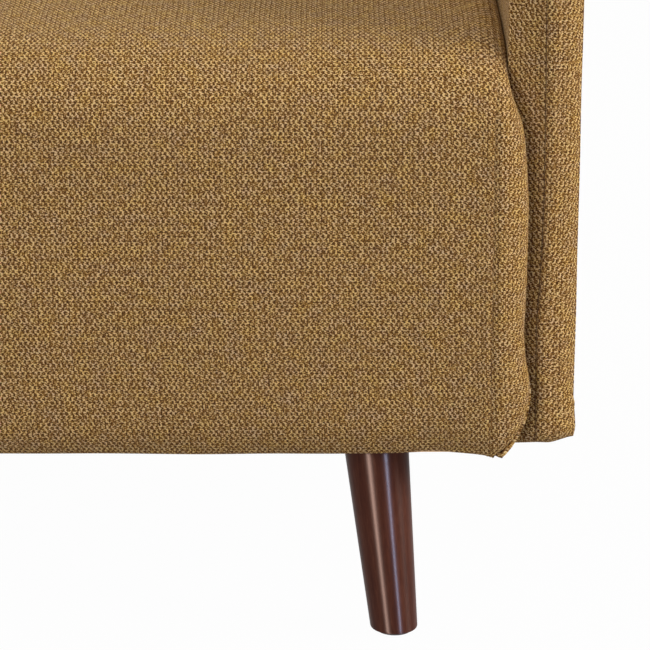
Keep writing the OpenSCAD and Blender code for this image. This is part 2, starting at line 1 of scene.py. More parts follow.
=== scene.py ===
# %% [markdown]
# # A sofa with wooden legs
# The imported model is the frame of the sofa: every board, spring, bolt and leg at its true place.
# Here each soft or turned piece that shows is made again, as a maker would make it: cloth is cut
# flat and laid over the padding, legs are turned, cushions are filled. The hidden pieces of the
# frame stay as they are and only get their real finish.

# %% Load the frame
import math

import bmesh
import bpy
from mathutils import Matrix, Vector, noise


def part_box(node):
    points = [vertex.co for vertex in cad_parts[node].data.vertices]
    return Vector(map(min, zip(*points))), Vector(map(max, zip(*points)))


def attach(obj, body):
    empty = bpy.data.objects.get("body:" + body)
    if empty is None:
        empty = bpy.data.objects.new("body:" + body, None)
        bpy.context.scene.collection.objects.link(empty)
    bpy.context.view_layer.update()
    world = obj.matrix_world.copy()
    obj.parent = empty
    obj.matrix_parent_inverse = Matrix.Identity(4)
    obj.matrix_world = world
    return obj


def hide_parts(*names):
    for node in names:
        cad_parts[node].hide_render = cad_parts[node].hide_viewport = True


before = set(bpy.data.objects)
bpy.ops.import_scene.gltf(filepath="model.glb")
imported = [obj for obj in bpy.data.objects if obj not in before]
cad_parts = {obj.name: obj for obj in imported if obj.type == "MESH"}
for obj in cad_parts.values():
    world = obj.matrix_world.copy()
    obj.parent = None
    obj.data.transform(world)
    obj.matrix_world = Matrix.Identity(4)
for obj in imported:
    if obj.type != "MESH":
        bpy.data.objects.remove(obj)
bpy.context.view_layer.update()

MM = 0.001

# %% [markdown]
# ## The room
# The camera looks straight at the front, a little from above, close to the sofa's right front
# corner. A long lens keeps the upright lines upright. The camera is set out from the corner of
# the seat, so it follows the sofa if the sofa changes.

# %% Camera
seat_low, seat_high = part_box("seat_cover")
arm_low, arm_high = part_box("arm_right_outer_cover")
CAMERA_TILT = math.radians(17)
# How far left of the arm's outer face, how far in front of the seat and how high it stands
CAMERA_LEFT, CAMERA_OUT, CAMERA_HEIGHT = 0.180, 1.872, 0.817
camera_data = bpy.data.cameras.new("camera")
camera_data.sensor_width = 36
camera_data.lens = 154
camera = bpy.data.objects.new("camera", camera_data)
camera.location = (arm_high.x - CAMERA_LEFT, seat_low.y - CAMERA_OUT, CAMERA_HEIGHT)
camera.rotation_euler = (math.pi / 2 - CAMERA_TILT, 0, 0)
bpy.context.scene.collection.objects.link(camera)
bpy.context.scene.camera = camera
bpy.context.scene.view_settings.view_transform = "Standard"
print("camera at", [round(c, 3) for c in camera.location])

# %% [markdown]
# ## Colours and nodes
# Colours are picked as hex values, the way a screen shows them. Blender computes light in linear
# values, so one function turns them over. A second function adds a node with its settings and its
# links, which keeps a long material readable.

# %% Helpers for colours and nodes
def colour(code):
    """A hex colour as a linear RGBA value."""
    parts = [int(code[i:i + 2], 16) / 255 for i in (1, 3, 5)]
    return tuple(p / 12.92 if p <= 0.04045 else ((p + 0.055) / 1.055) ** 2.4 for p in parts) + (1,)


def add(tree, kind, inputs=None, stops=(), **settings):
    """Adds a node. An input is a value, a socket, or a node whose first output in use is taken.
    stops are the places and hex colours of a colour ramp."""
    made = tree.nodes.new("ShaderNode" + kind)
    for name, value in settings.items():
        setattr(made, name, value)
    for k, (place, code) in enumerate(stops):
        if k >= len(made.color_ramp.elements):
            made.color_ramp.elements.new(1.0)
        made.color_ramp.elements[k].position = place
        made.color_ramp.elements[k].color = colour(code)
    for name, value in (inputs or {}).items():
        if isinstance(value, bpy.types.Node):
            value = next(socket for socket in value.outputs if socket.enabled)
        if isinstance(value, bpy.types.NodeSocket):
            tree.links.new(value, made.inputs[name])
        else:
            made.inputs[name].default_value = value
    return made


def blank_material(name):
    """A material with an empty tree and its output node."""
    made = bpy.data.materials.new(name)
    made.use_nodes = True
    made.node_tree.nodes.clear()
    return made, made.node_tree, made.node_tree.nodes.new("ShaderNodeOutputMaterial")


def white_to_camera(tree, plain, white):
    """Plain light for the scene, but white where the camera, a gloss or a glass looks."""
    path = add(tree, "LightPath")
    sees = add(tree, "Math", {0: path.outputs["Is Camera Ray"], 1: path.outputs["Is Glossy Ray"]},
               operation="MAXIMUM")
    sees = add(tree, "Math", {0: sees, 1: path.outputs["Is Transmission Ray"]}, operation="MAXIMUM")
    return add(tree, "MixShader", {0: sees, 1: plain, 2: white})


print("white in linear values:", colour("#ffffff"))

# %% [markdown]
# ## Floor, world and lamps
# A product picture has an endless white floor. The floor is a real surface that takes the
# sofa's shadow, mixed with plain white so that it stays pale. The world gives even light from
# all around. Two tall, narrow lamps on either side of the camera draw the upright highlights
# on the polished legs and leave the cloth alone. Four wide, soft lamps light the cloth: the key
# from the right, a fill from the left, one overhead and one at the rear.

# %% Floor and world
floor_mesh = bpy.data.meshes.new("floor")
bm = bmesh.new()
bmesh.ops.create_grid(bm, x_segments=1, y_segments=1, size=30)
bm.to_mesh(floor_mesh)
bm.free()
floor = bpy.data.objects.new("floor", floor_mesh)
bpy.context.scene.collection.objects.link(floor)

FLOOR_WHITE = 0.98
floor_paint, tree, out = blank_material("white_paper_floor")
paper = add(tree, "BsdfDiffuse", {"Color": colour("#b4b4b4")})
glow = add(tree, "Emission", {"Color": colour("#ffffff"), "Strength": 1})
kept = add(tree, "MixShader", {0: FLOOR_WHITE, 1: paper, 2: glow})
tree.links.new(white_to_camera(tree, paper, kept).outputs[0], out.inputs[0])
floor_mesh.materials.append(floor_paint)

WORLD_LIGHT = 0.36
world = bpy.data.worlds.new("white_studio")
bpy.context.scene.world = world
world.use_nodes = True
tree = world.node_tree
tree.nodes.clear()
around = add(tree, "Background", {"Color": colour("#ffffff"), "Strength": WORLD_LIGHT})
backdrop = add(tree, "Background", {"Color": colour("#ffffff"), "Strength": 1})
out = tree.nodes.new("ShaderNodeOutputWorld")
tree.links.new(white_to_camera(tree, around, backdrop).outputs[0], out.inputs[0])
print("room:", floor.name, "of", floor_paint.name, "in", world.name)

# %% Lamps
def soft_lamp(name, place, aim, width, height, watts, code):
    """A flat rectangular lamp at a place, turned to face a point."""
    data = bpy.data.lights.new(name, "AREA")
    data.shape = "RECTANGLE"
    data.size = width
    data.size_y = height
    data.energy = watts
    data.color = colour(code)[:3]
    made = bpy.data.objects.new(name, data)
    made.location = place
    made.rotation_euler = (Vector(aim) - Vector(place)).to_track_quat("-Z", "Y").to_euler()
    bpy.context.scene.collection.objects.link(made)
    return made


corner = Vector((arm_high.x, seat_low.y, 0.3))
seat_middle = corner + Vector((-0.5, 0.15, 0.15))
soft_lamp("key_lamp_right", corner + Vector((2.5, -0.5, 1.05)), corner, 1.1, 1.1, 66, "#fffaf2")
soft_lamp("fill_lamp_left", corner + Vector((-1.6, -2.1, 1.0)), corner, 1.5, 1.5, 21, "#fffdf8")
soft_lamp("top_lamp", corner + Vector((-0.7, 0.35, 1.7)), seat_middle, 1.3, 1.3, 8, "#ffffff")
soft_lamp("fill_lamp_rear", (-1.8, 3.6, 1.9), (0, 0, 0.4), 2.4, 2.0, 90, "#ffffff")
for name, out_x, width, watts, code in (("strip_lamp_right", 1.35, 0.10, 420, "#d3dcff"),
                                        ("strip_lamp_left", -1.85, 0.50, 760, "#ffd6c4")):
    strip = soft_lamp(name, corner + Vector((out_x, -2.55, 0.6)), corner, width, 1.9, watts, code)
    # Only glossy surfaces see these two
    strip.visible_diffuse = False

# %% [markdown]
# ## Woven cloth
# The cover is a heavy upholstery cloth of two tones: a light chenille yarn snakes upwards round
# small dark hollows, which stand in brick order, one pair of yarns 3.7 mm wide and one row
# 2.8 mm high. An image could show this, but a few sine waves on the cut cloth's own
# measures follow every fold without a seam. The waves are bent by noise, because no
# yarn lies quite straight, and the same height drives both colour and relief.

# %% Woven cloth
PAIR_WIDTH = 3.715 * MM
ROW_HEIGHT = 2.79 * MM
YARN_RELIEF = 0.6 * MM
# The weave as waves: (weight, waves in a pair across, waves in two rows up, start in degrees)
WEAVE_WAVES = [
    (0.175, 1, -1, 0), (0.210, 1, 1, 0), (0.100, 1, 0, 75), (0.095, 0, 2, -150), (0.075, 2, 0, 33),
    (0.100, 1, -3, 130), (0.130, 1, 3, 170)]


def woven_cloth():
    """Two-tone chenille weave that reads the cut cloth's own measures in metres."""
    made, tree, out = blank_material("woven_chenille_cloth")
    cut = add(tree, "UVMap", uv_map="cut")
    wander = add(tree, "TexNoise", {"Vector": cut, "Scale": 1 / (45 * MM), "Detail": 1.0})
    jitter = add(tree, "TexNoise", {"Vector": cut, "Scale": 1 / (3.5 * MM), "Detail": 0.0})
    bent = cut
    for source, reach in ((wander, 1.7 * MM), (jitter, 0.75 * MM)):
        centred = add(tree, "VectorMath", {0: source.outputs["Color"], 1: (0.5, 0.5, 0.5)},
                      operation="SUBTRACT")
        pushed = add(tree, "VectorMath", {0: centred, "Scale": reach}, operation="SCALE")
        bent = add(tree, "VectorMath", {0: bent, 1: pushed}, operation="ADD")
    place = add(tree, "SeparateXYZ", {0: bent})
    across = add(tree, "Math", {0: place.outputs[0], 1: 2 * math.pi / PAIR_WIDTH}, operation="MULTIPLY")
    upward = add(tree, "Math", {0: place.outputs[1], 1: math.pi / ROW_HEIGHT}, operation="MULTIPLY")
    # The painted shade of the weave round tight edges, set on the cloth's crossings
    painted_slant_shade = add(tree, "Attribute", attribute_name="painted_slant_shade").outputs["Fac"]
    weave = None
    for weight, columns, rows, start in WEAVE_WAVES:
        turn = add(tree, "Math", {0: upward, 1: rows, 2: math.radians(start)}, operation="MULTIPLY_ADD")
        turn = add(tree, "Math", {0: across, 1: columns, 2: turn}, operation="MULTIPLY_ADD")
        wave = add(tree, "Math", {0: turn}, operation="COSINE")
        if abs(columns) == abs(rows) == 1:
            # Painted shade: round a tight edge one of the two slants fades, as the loops there shade and hide
            # one another
            fade = add(tree, "Math", {0: painted_slant_shade, 1: -0.75 * rows}, operation="MULTIPLY")
            fade = add(tree, "Math", {0: fade, 1: 1.0}, operation="ADD")
            fade = add(tree, "Math", {0: fade, 1: 1.15}, operation="MINIMUM")
            wave = add(tree, "Math", {0: wave, 1: fade}, operation="MULTIPLY")
        weave = add(tree, "Math", {0: wave, 1: weight, 2: weave or 0.0}, operation="MULTIPLY_ADD")
    # Some loops are thin or dark, and the pile of every yarn is ragged
    loops = add(tree, "TexNoise", {"Vector": cut, "Scale": 1 / (4.5 * MM), "Detail": 1.0})
    fibres = add(tree, "TexNoise", {"Vector": cut, "Scale": 1 / (1.1 * MM), "Detail": 1.0, "Roughness": 0.7})
    fulness = add(tree, "MapRange", {"Value": loops, "From Min": 0.25, "From Max": 0.75,
                                     "To Min": 0.5, "To Max": 1.5})
    height = add(tree, "Math", {0: weave, 1: fulness, 2: 0.5}, operation="MULTIPLY_ADD")
    for source, reach in ((loops, 0.68), (fibres, 2.9)):
        centred = add(tree, "Math", {0: source.outputs[0], 1: 0.5}, operation="SUBTRACT")
        height = add(tree, "Math", {0: centred, 1: reach, 2: height}, operation="MULTIPLY_ADD")
    tone = add(tree, "ValToRGB", {"Fac": height}, stops=[
        (0.02, "#452400"), (0.28, "#734811"), (0.48, "#956d31"), (0.65, "#b68f54"), (0.93, "#eace9f")])
    # Uneven dye: soft patches about a centimetre wide, a little yellower or greyer
    patches = add(tree, "TexNoise", {"Vector": cut, "Scale": 1 / (12 * MM), "Detail": 2.0})
    patch_tone = add(tree, "ValToRGB", {"Fac": patches}, stops=[(0.3, "#fffad2"), (0.7, "#f2eff2")])
    dyed = add(tree, "Mix", {0: 1.0, 6: tone, 7: patch_tone}, data_type="RGBA", blend_type="MULTIPLY")
    relief = add(tree, "Bump", {"Height": height, "Strength": 0.6, "Distance": YARN_RELIEF})
    surface = add(tree, "BsdfPrincipled", {
        "Base Color": dyed, "Normal": relief, "Roughness": 0.9, "Specular IOR Level": 0.06,
        "Sheen Weight": 0.04, "Sheen Roughness": 0.5})
    tree.links.new(surface.outputs[0], out.inputs[0])
    return made


cloth = woven_cloth()
print("cloth:", len(cloth.node_tree.nodes), "nodes")

# %% [markdown]
# ## How cloth is laid
# An upholsterer cuts a flat panel and pulls it over the padding. The same is done here: a flat
# grid is the cut panel, and each of its crossings is moved to its place on the padding. The
# flat measures are kept as a UV map named cut, so the weave bends with the cloth. The shape of
# the padding comes from a path in the side view: straight runs joined by round corners.

# %% Paths and panels
def turned(way, angle):
    """A 2-D direction turned to the left by an angle."""
    c, s = math.cos(angle), math.sin(angle)
    return Vector((way.x * c - way.y * s, way.x * s + way.y * c))


def rounded_path(points, radii, step):
    """Samples a path in (y, z) with round corners as (point, outward normal, run so far).
    The outside lies to the right of the way along the path."""
    samples, run, start = [], 0.0, Vector(points[0])
    for k, corner in enumerate(points[1:]):
        corner = Vector(corner)
        way = (corner - start).normalized()
        last = k == len(points) - 2
        go = way if last else (Vector(points[k + 2]) - corner).normalized()
        turn = 0.0 if last else math.atan2(way.cross(go), way.dot(go))
        radius = 0.0 if last else radii[k]
        length = (corner - start).length - radius * math.tan(abs(turn) / 2)
        count = max(1, round(length / step))
        for j in range(count):
            samples.append((start + way * length * j / count, turned(way, -math.pi / 2),
                            run + length * j / count))
        run += length
        start = start + way * length
        if radius > 0:
            spoke = turned(way, -math.copysign(math.pi / 2, turn)) * radius
            hub = start - spoke
            count = max(6, round(radius * abs(turn) / step))
            for j in range(count):
                angle = turn * j / count
                samples.append((hub + turned(spoke, angle), turned(way, angle - math.pi / 2),
                                run + radius * abs(angle)))
            run += radius * abs(turn)
            start = hub + turned(spoke, turn)
    samples.append((start, turned(way, -math.pi / 2), run))
    return samples


# A bend, in radians, that ends the wait for the next sample of a path
SHARP_TURN = 0.2


def traced_path(points, step):
    """Samples a path in (y, z) through many points, with every corner softened, like rounded_path."""
    spacing, reach = 1.0 * MM, 2
    dense = []
    for a, b in zip(points, points[1:]):
        a, b = Vector(a), Vector(b)
        count = max(1, round((b - a).length / spacing))
        dense += [a.lerp(b, k / count) for k in range(count)]
    dense.append(Vector(points[-1]))
    last = len(dense) - 1
    for sweep in range(2):
        soft = []
        for k in range(1, last):
            near = (dense[min(max(k + j, 0), last)] for j in range(-reach, reach + 1))
            soft.append(sum(near, Vector((0, 0))) / (2 * reach + 1))
        dense = [dense[0]] + soft + [dense[-1]]
    samples, run, due = [], 0.0, 0.0
    for k, point in enumerate(dense):
        run += (point - dense[max(k - 1, 0)]).length
        way = (dense[min(k + 1, last)] - dense[max(k - 1, 0)]).normalized()
        normal = turned(way, -math.pi / 2)
        # Where the path bends sharply the samples stand closer
        if run >= due or k == last or normal.angle(samples[-1][1]) > SHARP_TURN:
            samples.append((point, normal, run))
            due = run + step
    return samples


def spread(low, high, count):
    """Evenly spaced values from low to high, both included."""
    return [low + (high - low) * k / count for k in range(count + 1)]


def reading(table, at):
    """Reads a table of (place, value) pairs, with straight lines between them."""
    if at <= table[0][0]:
        return table[0][1]
    for (a, x), (b, y) in zip(table, table[1:]):
        if at <= b:
            return x + (y - x) * (at - a) / (b - a)
    return table[-1][1]


def ease(value, low, high):
    """0 below low, 1 above high, and a smooth rise between."""
    part = min(1.0, max(0.0, (value - low) / (high - low)))
    return part * part * (3 - 2 * part)


def unevenness(x, y, *layers):
    """A smooth random height. Each layer is (bumps per metre, where it starts, height)."""
    return sum(noise.noise(Vector((x * bumps, y * bumps, start))) * height for bumps, start, height in layers)


def lay_cloth(bm, across, along, place, cut):
    """Lays a flat grid with a crossing for each value in across and along: place gives the
    point of a crossing, and cut its measure on the flat cloth. Returns the crossings' values."""
    layer = bm.loops.layers.uv.get("cut") or bm.loops.layers.uv.new("cut")
    columns, rows = len(across) - 1, len(along) - 1
    made = bmesh.ops.create_grid(bm, x_segments=columns, y_segments=rows, size=0.5)
    values = {}
    for crossing in made["verts"]:
        a = across[round((crossing.co.x + 0.5) * columns)]
        b = along[round((crossing.co.y + 0.5) * rows)]
        for loop in crossing.link_loops:
            loop[layer].uv = cut(a, b)
        crossing.co = place(a, b)
        values[crossing] = (a, b)
    return values


def into_piece(bm, name, material, outward=True):
    """Turns a bmesh into a piece of the sofa that rides on its frame."""
    if outward:
        bmesh.ops.recalc_face_normals(bm, faces=bm.faces)
    for face in bm.faces:
        face.smooth = True
    mesh = bpy.data.meshes.new(name)
    bm.to_mesh(mesh)
    bm.free()
    mesh.materials.append(material)
    piece = bpy.data.objects.new(name, mesh)
    bpy.context.scene.collection.objects.link(piece)
    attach(piece, "root")
    return piece


def cloth_thickness(piece, thickness):
    """Gives a shell of cloth its thickness, inwards."""
    wall = piece.modifiers.new("cloth_thickness", "SOLIDIFY")
    wall.thickness = thickness
    wall.offset = -1


print("round the corner of a square:", len(rounded_path([(0, 0), (0, 1), (1, 1)], [0.1], 0.1)), "samples")

# %% [markdown]
# ## The seat
# One wide panel starts behind the seat, comes over the soft front roll and runs down to the hem,
# where it turns under. At each end it is sewn to an end boxing. Behind the arm the boxing drops
# between seat and arm. In front of the arm there is nothing to hold it, so it swells sideways
# over the arm's edge. Each row of the panel follows the same side path, and its ends are rounded by
# a section that changes from the top, which is held in, to the front, which is free.

# %% The seat's own measures
cushion_low, cushion_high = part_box("back_cover_right")
inner_low, inner_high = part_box("arm_right_inner_cover")
SEAT_HALF = cushion_high.x
FRONT_Y, SEAT_REAR_Y = seat_low.y, seat_high.y
HEM_Z, SEAT_Z = seat_low.z, seat_high.z
ARM_FRONT_Y = arm_low.y
COVER_T = 1.5 * MM
HEM_RETURN = 16 * MM
# The front in the side view, in mm: (back from the front, over the hem), then (back, under the top)
FRONT_LOW = [(28, 0), (15, -1.2), (13.0, -0.6), (11.4, 1.4), (9.5, 4.4), (8.1, 7.5), (6.6, 10.3), (5.1, 13.9),
             (3.9, 18.1), (3.0, 22.9), (2.4, 29.2), (2.0, 36.8), (1.7, 44.4), (1.2, 59.5), (0.5, 82.1),
             (0, 104.3), (0.1, 126.3)]
FRONT_HIGH = [(0.8, 168.0), (1.6, 146.5), (2.2, 125.1), (3.0, 103.8), (4.1, 82.8), (4.6, 75.8), (5.3, 70.0),
              (7.2, 62.6), (10.2, 55.9), (13.7, 49.6), (18.0, 43.5), (23.3, 37.5), (29.9, 31.8), (36.4, 27.5),
              (44.4, 23.4), (54.7, 19.8), (68.3, 16.7), (80, 15.1), (100, 12.8), (130, 9.8), (170, 6.4),
              (210, 3.6), (250, 1.5), (290, 0)]
# The round ends: width and depth of the rounding on top, the cloth over it as far as the seam, how
# far it has turned there, where the seam stands on the front, and the room left before the arm
SIDE_ROUND = Vector((20 * MM, 13 * MM))
SEAM_REACH = 12 * MM
SEAM_TURN = math.radians(46)
SEAM_X = SEAT_HALF - 9.4 * MM
ROOM = 0.4 * MM
# How far down the cover is tucked in behind the seat
SEAT_TUCK = 65 * MM
# The lobe in front of the arm: its depth from front to back, and its cloth from the seam outwards
LIP_FRONT = 22 * MM
LIP_DEPTH = ARM_FRONT_Y - FRONT_Y - ROOM
LIP_REACH = 32 * MM
# How deep the boxing runs straight down beside the arm, and then on to its hidden edge
SIDE_DROP, SIDE_TAIL = 22 * MM, 30 * MM
# How far the hem is folded back: all of it at the seam, less round the lobe
HEM_BACK, HEM_BACK_LOBE = 28 * MM, 13 * MM
# How far each end swells past the arm's inner face, from the hem up
LIP_SWELL = [(0.144, 8.0), (0.150, 12.0), (0.156, 15.0), (0.162, 17.0), (0.172, 19.8), (0.184, 21.0),
             (0.196, 20.6), (0.205, 18.6), (0.214, 16.6), (0.226, 15.2), (0.237, 14.6), (0.255, 15.0),
             (0.274, 15.8), (0.303, 16.5), (0.325, 16.2), (0.346, 14.8), (0.375, 12.4), (0.403, 7.6),
             (0.431, 1.6), (0.452, 0.0)]

seat_path = traced_path(
    [(SEAT_REAR_Y - 1 * MM, SEAT_Z - SEAT_TUCK), (SEAT_REAR_Y - 1 * MM, SEAT_Z)]
    + [(FRONT_Y + back * MM, SEAT_Z - under * MM) for back, under in reversed(FRONT_HIGH)]
    + [(FRONT_Y + back * MM, HEM_Z + over * MM) for back, over in reversed(FRONT_LOW)], 4.5 * MM)
print("seat path:", len(seat_path), "rows,", round(seat_path[-1][2], 3), "m from rear to hem")


# %% Sections of the seat
def seat_swell(x, row):
    """How far the cloth stands off its path: its filling is a little uneven, but not at the ends."""
    normal, run = row[1:]
    free = max(0.0, 1 - abs(x / SEAT_HALF) ** 8)
    uneven = unevenness(x, run, (7, 3.1, 1.3), (19, 8.4, 0.5))
    return uneven * MM * (1 - ease(normal.y, -0.2, -0.9)) * (0.35 + 0.65 * free)


def seam_groove(distance):
    """The cloth dips at a seam and stands up a little beside it."""
    far = abs(distance) / MM
    return (-1.7 * math.exp(-(far / 1.3) ** 2) + 0.35 * math.exp(-((far - 4.5) / 2.5) ** 2)) * MM


def seam_shown(height):
    """The end seam is lost in the hem's fold, and fades on the roll."""
    return ease(height, HEM_Z + 0.008, HEM_Z + 0.022) * (1 - 0.7 * ease(height, 0.36, 0.43))


def frontness(row):
    """0 on the seat's top and 1 on its front."""
    return ease(math.degrees(math.atan2(-row[1].x, row[1].y)), 25, 80) if row[0].x < 0 else 0.0


def main_place(x_part, row):
    """A point of the main panel: x_part is -1 and 1 at the end seams."""
    point, normal = row[:2]
    side, m = math.copysign(1, x_part), abs(x_part)
    flat_x = SEAT_HALF - SIDE_ROUND.x
    flat_part = flat_x / (flat_x + SEAM_REACH)
    front = frontness(row)
    if m <= flat_part:
        x, depth, beside = m / flat_part * flat_x, 0.0, SEAM_REACH
    else:
        f = (m - flat_part) / (1 - flat_part)
        angle = SEAM_TURN * f
        x = (flat_x + SIDE_ROUND.x * math.sin(angle)) * (1 - front) + (flat_x + (SEAM_X - flat_x) * f) * front
        depth = SIDE_ROUND.y * (1 - math.cos(angle)) * (1 - front)
        beside = (1 - f) * SEAM_REACH
    out = seat_swell(side * x, row) + seam_groove(beside) * seam_shown(point.y) - depth
    at = point + normal * out
    return Vector((side * x, at.x, at.y))


def boxing_place(side, part, row):
    """A point of an end boxing: part runs from 0 at the seam to 3 deep between seat and arm."""
    point, normal = row[:2]
    front = frontness(row)
    stage = min(2, int(part))
    f = part - stage
    # The section on top: round, then straight down beside the arm
    angle = SEAM_TURN + (math.pi / 2 - SEAM_TURN) * f
    top = [(SEAT_HALF - SIDE_ROUND.x * (1 - math.sin(angle)), SIDE_ROUND.y * (1 - math.cos(angle))),
           (SEAT_HALF, SIDE_ROUND.y + SIDE_DROP * f),
           (SEAT_HALF, SIDE_ROUND.y + SIDE_DROP + SIDE_TAIL * f)][stage]
    # The plan in front: a swelling lobe, then back beside the arm
    swell = reading(LIP_SWELL, point.y) * MM
    wide = SEAT_HALF + swell
    turn = math.pi / 2 * f
    plan = [(SEAM_X + (wide - SEAM_X) * math.sin(turn), LIP_FRONT * (1 - math.cos(turn))),
            (SEAT_HALF + swell * math.cos(turn), LIP_FRONT + (LIP_DEPTH - LIP_FRONT) * math.sin(turn)),
            (SEAT_HALF, LIP_DEPTH + SIDE_TAIL * f)][stage]
    facing = [Vector((math.sin(turn) / max(wide - SEAM_X, 1e-4), -math.cos(turn) / LIP_FRONT)),
              Vector((math.cos(turn) / max(swell, 1e-4), math.sin(turn) / (LIP_DEPTH - LIP_FRONT))),
              Vector((1, 0))][stage].normalized()
    out = 0.0
    if stage == 0:
        out = seam_groove(part * LIP_REACH) * seam_shown(point.y)
        out += seat_swell(side * SEAM_X, row) * (1 - ease(part, 0, 1))
    x = top[0] * (1 - front) + (plan[0] + out * facing.x) * front
    depth = top[1] * (1 - front) + plan[1] * front - out * (1 - front + front * -facing.y)
    at = point - normal * depth
    # Low down the whole lobe draws in towards the hem, and turns under with it
    low = ease(point.y, HEM_Z + 0.19, HEM_Z + 0.13) * front
    limit = HEM_BACK_LOBE + (HEM_BACK - HEM_BACK_LOBE) * (1 - ease(part, 0, 0.3))
    back = min(point.x - FRONT_Y, limit)
    x += (plan[0] + (out - back) * facing.x - x) * low
    at.x += (FRONT_Y + plan[1] + (out - back) * facing.y - at.x) * low
    at.y += (point.y - at.y) * low
    return Vector((side * x, at.x, at.y))


# How the cloth was pulled while it was sewn: where its columns begin to lean and how much, and
# where its rows begin to draw together beside the end seam and by how much
LEAN_BELOW, LEAN_EASE, LEAN = 0.30, 0.095, -0.063
DRAW_FROM, DRAW_WIDTH, DRAW_MIDDLE, DRAW_HALF, DRAW_BY = 0.775, 0.063, 0.255, 0.135, 4 * MM


def drift(row):
    """Low down the cloth was pulled a little askew: the sideways shift of its columns."""
    far = max(0.0, LEAN_BELOW - row[0].y)
    eased = far * far / (2 * LEAN_EASE) if far < LEAN_EASE else far - LEAN_EASE / 2
    return LEAN * eased * (row[0].x < 0)


def drawn_in(x, row):
    """The end seam is a little shorter than the cloth, so the rows beside it draw together."""
    beside = min(1.0, max(0.0, (abs(x) - DRAW_FROM) / DRAW_WIDTH))
    pull = min(1.0, max(-1.0, (row[0].y - DRAW_MIDDLE) / DRAW_HALF))
    return DRAW_BY * beside ** 2 * pull * (row[0].x < -0.2)


middle_row = seat_path[len(seat_path) // 2]
print("seam and boxing at the middle row:",
      [[round(c, 3) for c in boxing_place(1, part, middle_row)] for part in (0, 1, 2)])

# %% Sew the seat cover
# Where the boxing's lines stand: close together at the seam, wider round the lobe and behind it
BOXING_PARTS = ([0, .02, .045, .08, .13, .19, .26, .34, .43, .53, .64, .76, .88, 1]
                + spread(1, 2, 8)[1:] + spread(2, 3, 4)[1:])
# The lines of weave lost in the seam, across and along
SEAM_LOSS = Vector((1.3 * MM, 1.1 * MM))
# The front hem lifts a little before its corner and hangs a little at it: (place, width, mm up)
HEM_WAVES = [(0.802, 0.022, 2.0), (0.847, 0.013, -2.6)]


def boxing_distances(side):
    """How far each part of a boxing lies from the seam, measured along the cloth, by the row's run."""
    far = {}
    for row in seat_path:
        at = [boxing_place(side, part, row) for part in BOXING_PARTS]
        run = [0.0]
        for a, b in zip(at, at[1:]):
            run.append(run[-1] + (b - a).length)
        far[row[2]] = dict(zip(BOXING_PARTS, run))
    return far


def hem_wave(x):
    """How far the front hem lifts, with its two waves and a smaller unevenness."""
    waves = sum(up * math.exp(-((abs(x) - place) / width) ** 2) for place, width, up in HEM_WAVES)
    return MM * (waves + 0.9 * noise.noise(Vector((x * 16, 2.5, 7.7))))


def seat_piece():
    """The whole seat cover, before its cloth is given a thickness."""
    bm = bmesh.new()
    painted_slant_shade = bm.verts.layers.float.new("painted_slant_shade")
    width = SEAT_HALF - SIDE_ROUND.x + SEAM_REACH
    flat_part = (SEAT_HALF - SIDE_ROUND.x) / width
    near_seam = [flat_part + (1 - flat_part) * f for f in (0.2, 0.4, 0.58, 0.72, 0.83, 0.91, 0.96, 1)]
    half = spread(0, flat_part, 92)[1:] + near_seam
    across = [-m for m in reversed(half)] + [0.0] + half
    lay_cloth(bm, across, seat_path, main_place,
              lambda m, row: (m * width + drift(row), -row[2] + drawn_in(m * width, row)))
    for side in (1, -1):
        far = boxing_distances(side)

        def place(part, row):
            """The boxing, drawn over to begin exactly on the main panel's edge."""
            astray = main_place(side, row) - boxing_place(side, 0.0, row)
            return boxing_place(side, part, row) + astray * (1 - ease(part, 0, 0.4))

        def cut(part, row):
            """The boxing's flat measures go on from the main panel's."""
            return (side * (width + SEAM_LOSS.x + far[row[2]][part]) + drift(row),
                    -row[2] - SEAM_LOSS.y + drawn_in(SEAM_X, row))

        made = lay_cloth(bm, BOXING_PARTS, seat_path, place, cut)
        # Painted shade round the lobe's edge: how far one slant of the weave fades there
        for crossing, (part, row) in made.items():
            crossing[painted_slant_shade] = side * ease(part, 0.05, 0.5) * frontness(row)
    bmesh.ops.remove_doubles(bm, verts=bm.verts, dist=1e-5)
    for v in bm.verts:
        if v.co.y < FRONT_Y + 0.05 and v.co.z < HEM_Z + 0.035:
            v.co.z += hem_wave(v.co.x) * ease(v.co.z, HEM_Z + 0.034, HEM_Z + 0.006)
    return into_piece(bm, "seat_upholstery", cloth)


seat = seat_piece()
cloth_thickness(seat, COVER_T)
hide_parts("seat_cover", "seat_wadding", "front_foam", "seat_foam")
print("seat:", len(seat.data.polygons), "faces")

# %% [markdown]
# ## The arms
# An arm is a slim upholstered board. Its cover has two halves, an inner and an outer one, sewn
# together up the middle of the narrow edge. Each half starts as a flat panel over the
# board's face. Its rim is then pulled round the edge, ring by ring, down into the seam. Beside
# the seam the outer half's seam allowance shows as a low step, 9 mm wide.

# %% The arm's outline
BACK_RAKE = math.radians(9)
ARM_SLOPE = math.radians(2)
ARM_FRONT_HEIGHT = 575 * MM
# Radii of the corners: low front, low rear, top rear, top front
ARM_CORNERS = [12 * MM, 12 * MM, 24 * MM, 62 * MM]
ARM_EDGE = 13 * MM
rear_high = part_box("back_outer_cover")[1]


def rear_y(z):
    """The raked rear face of the sofa at a height."""
    return rear_high.y + (z - rear_high.z) * math.tan(BACK_RAKE)


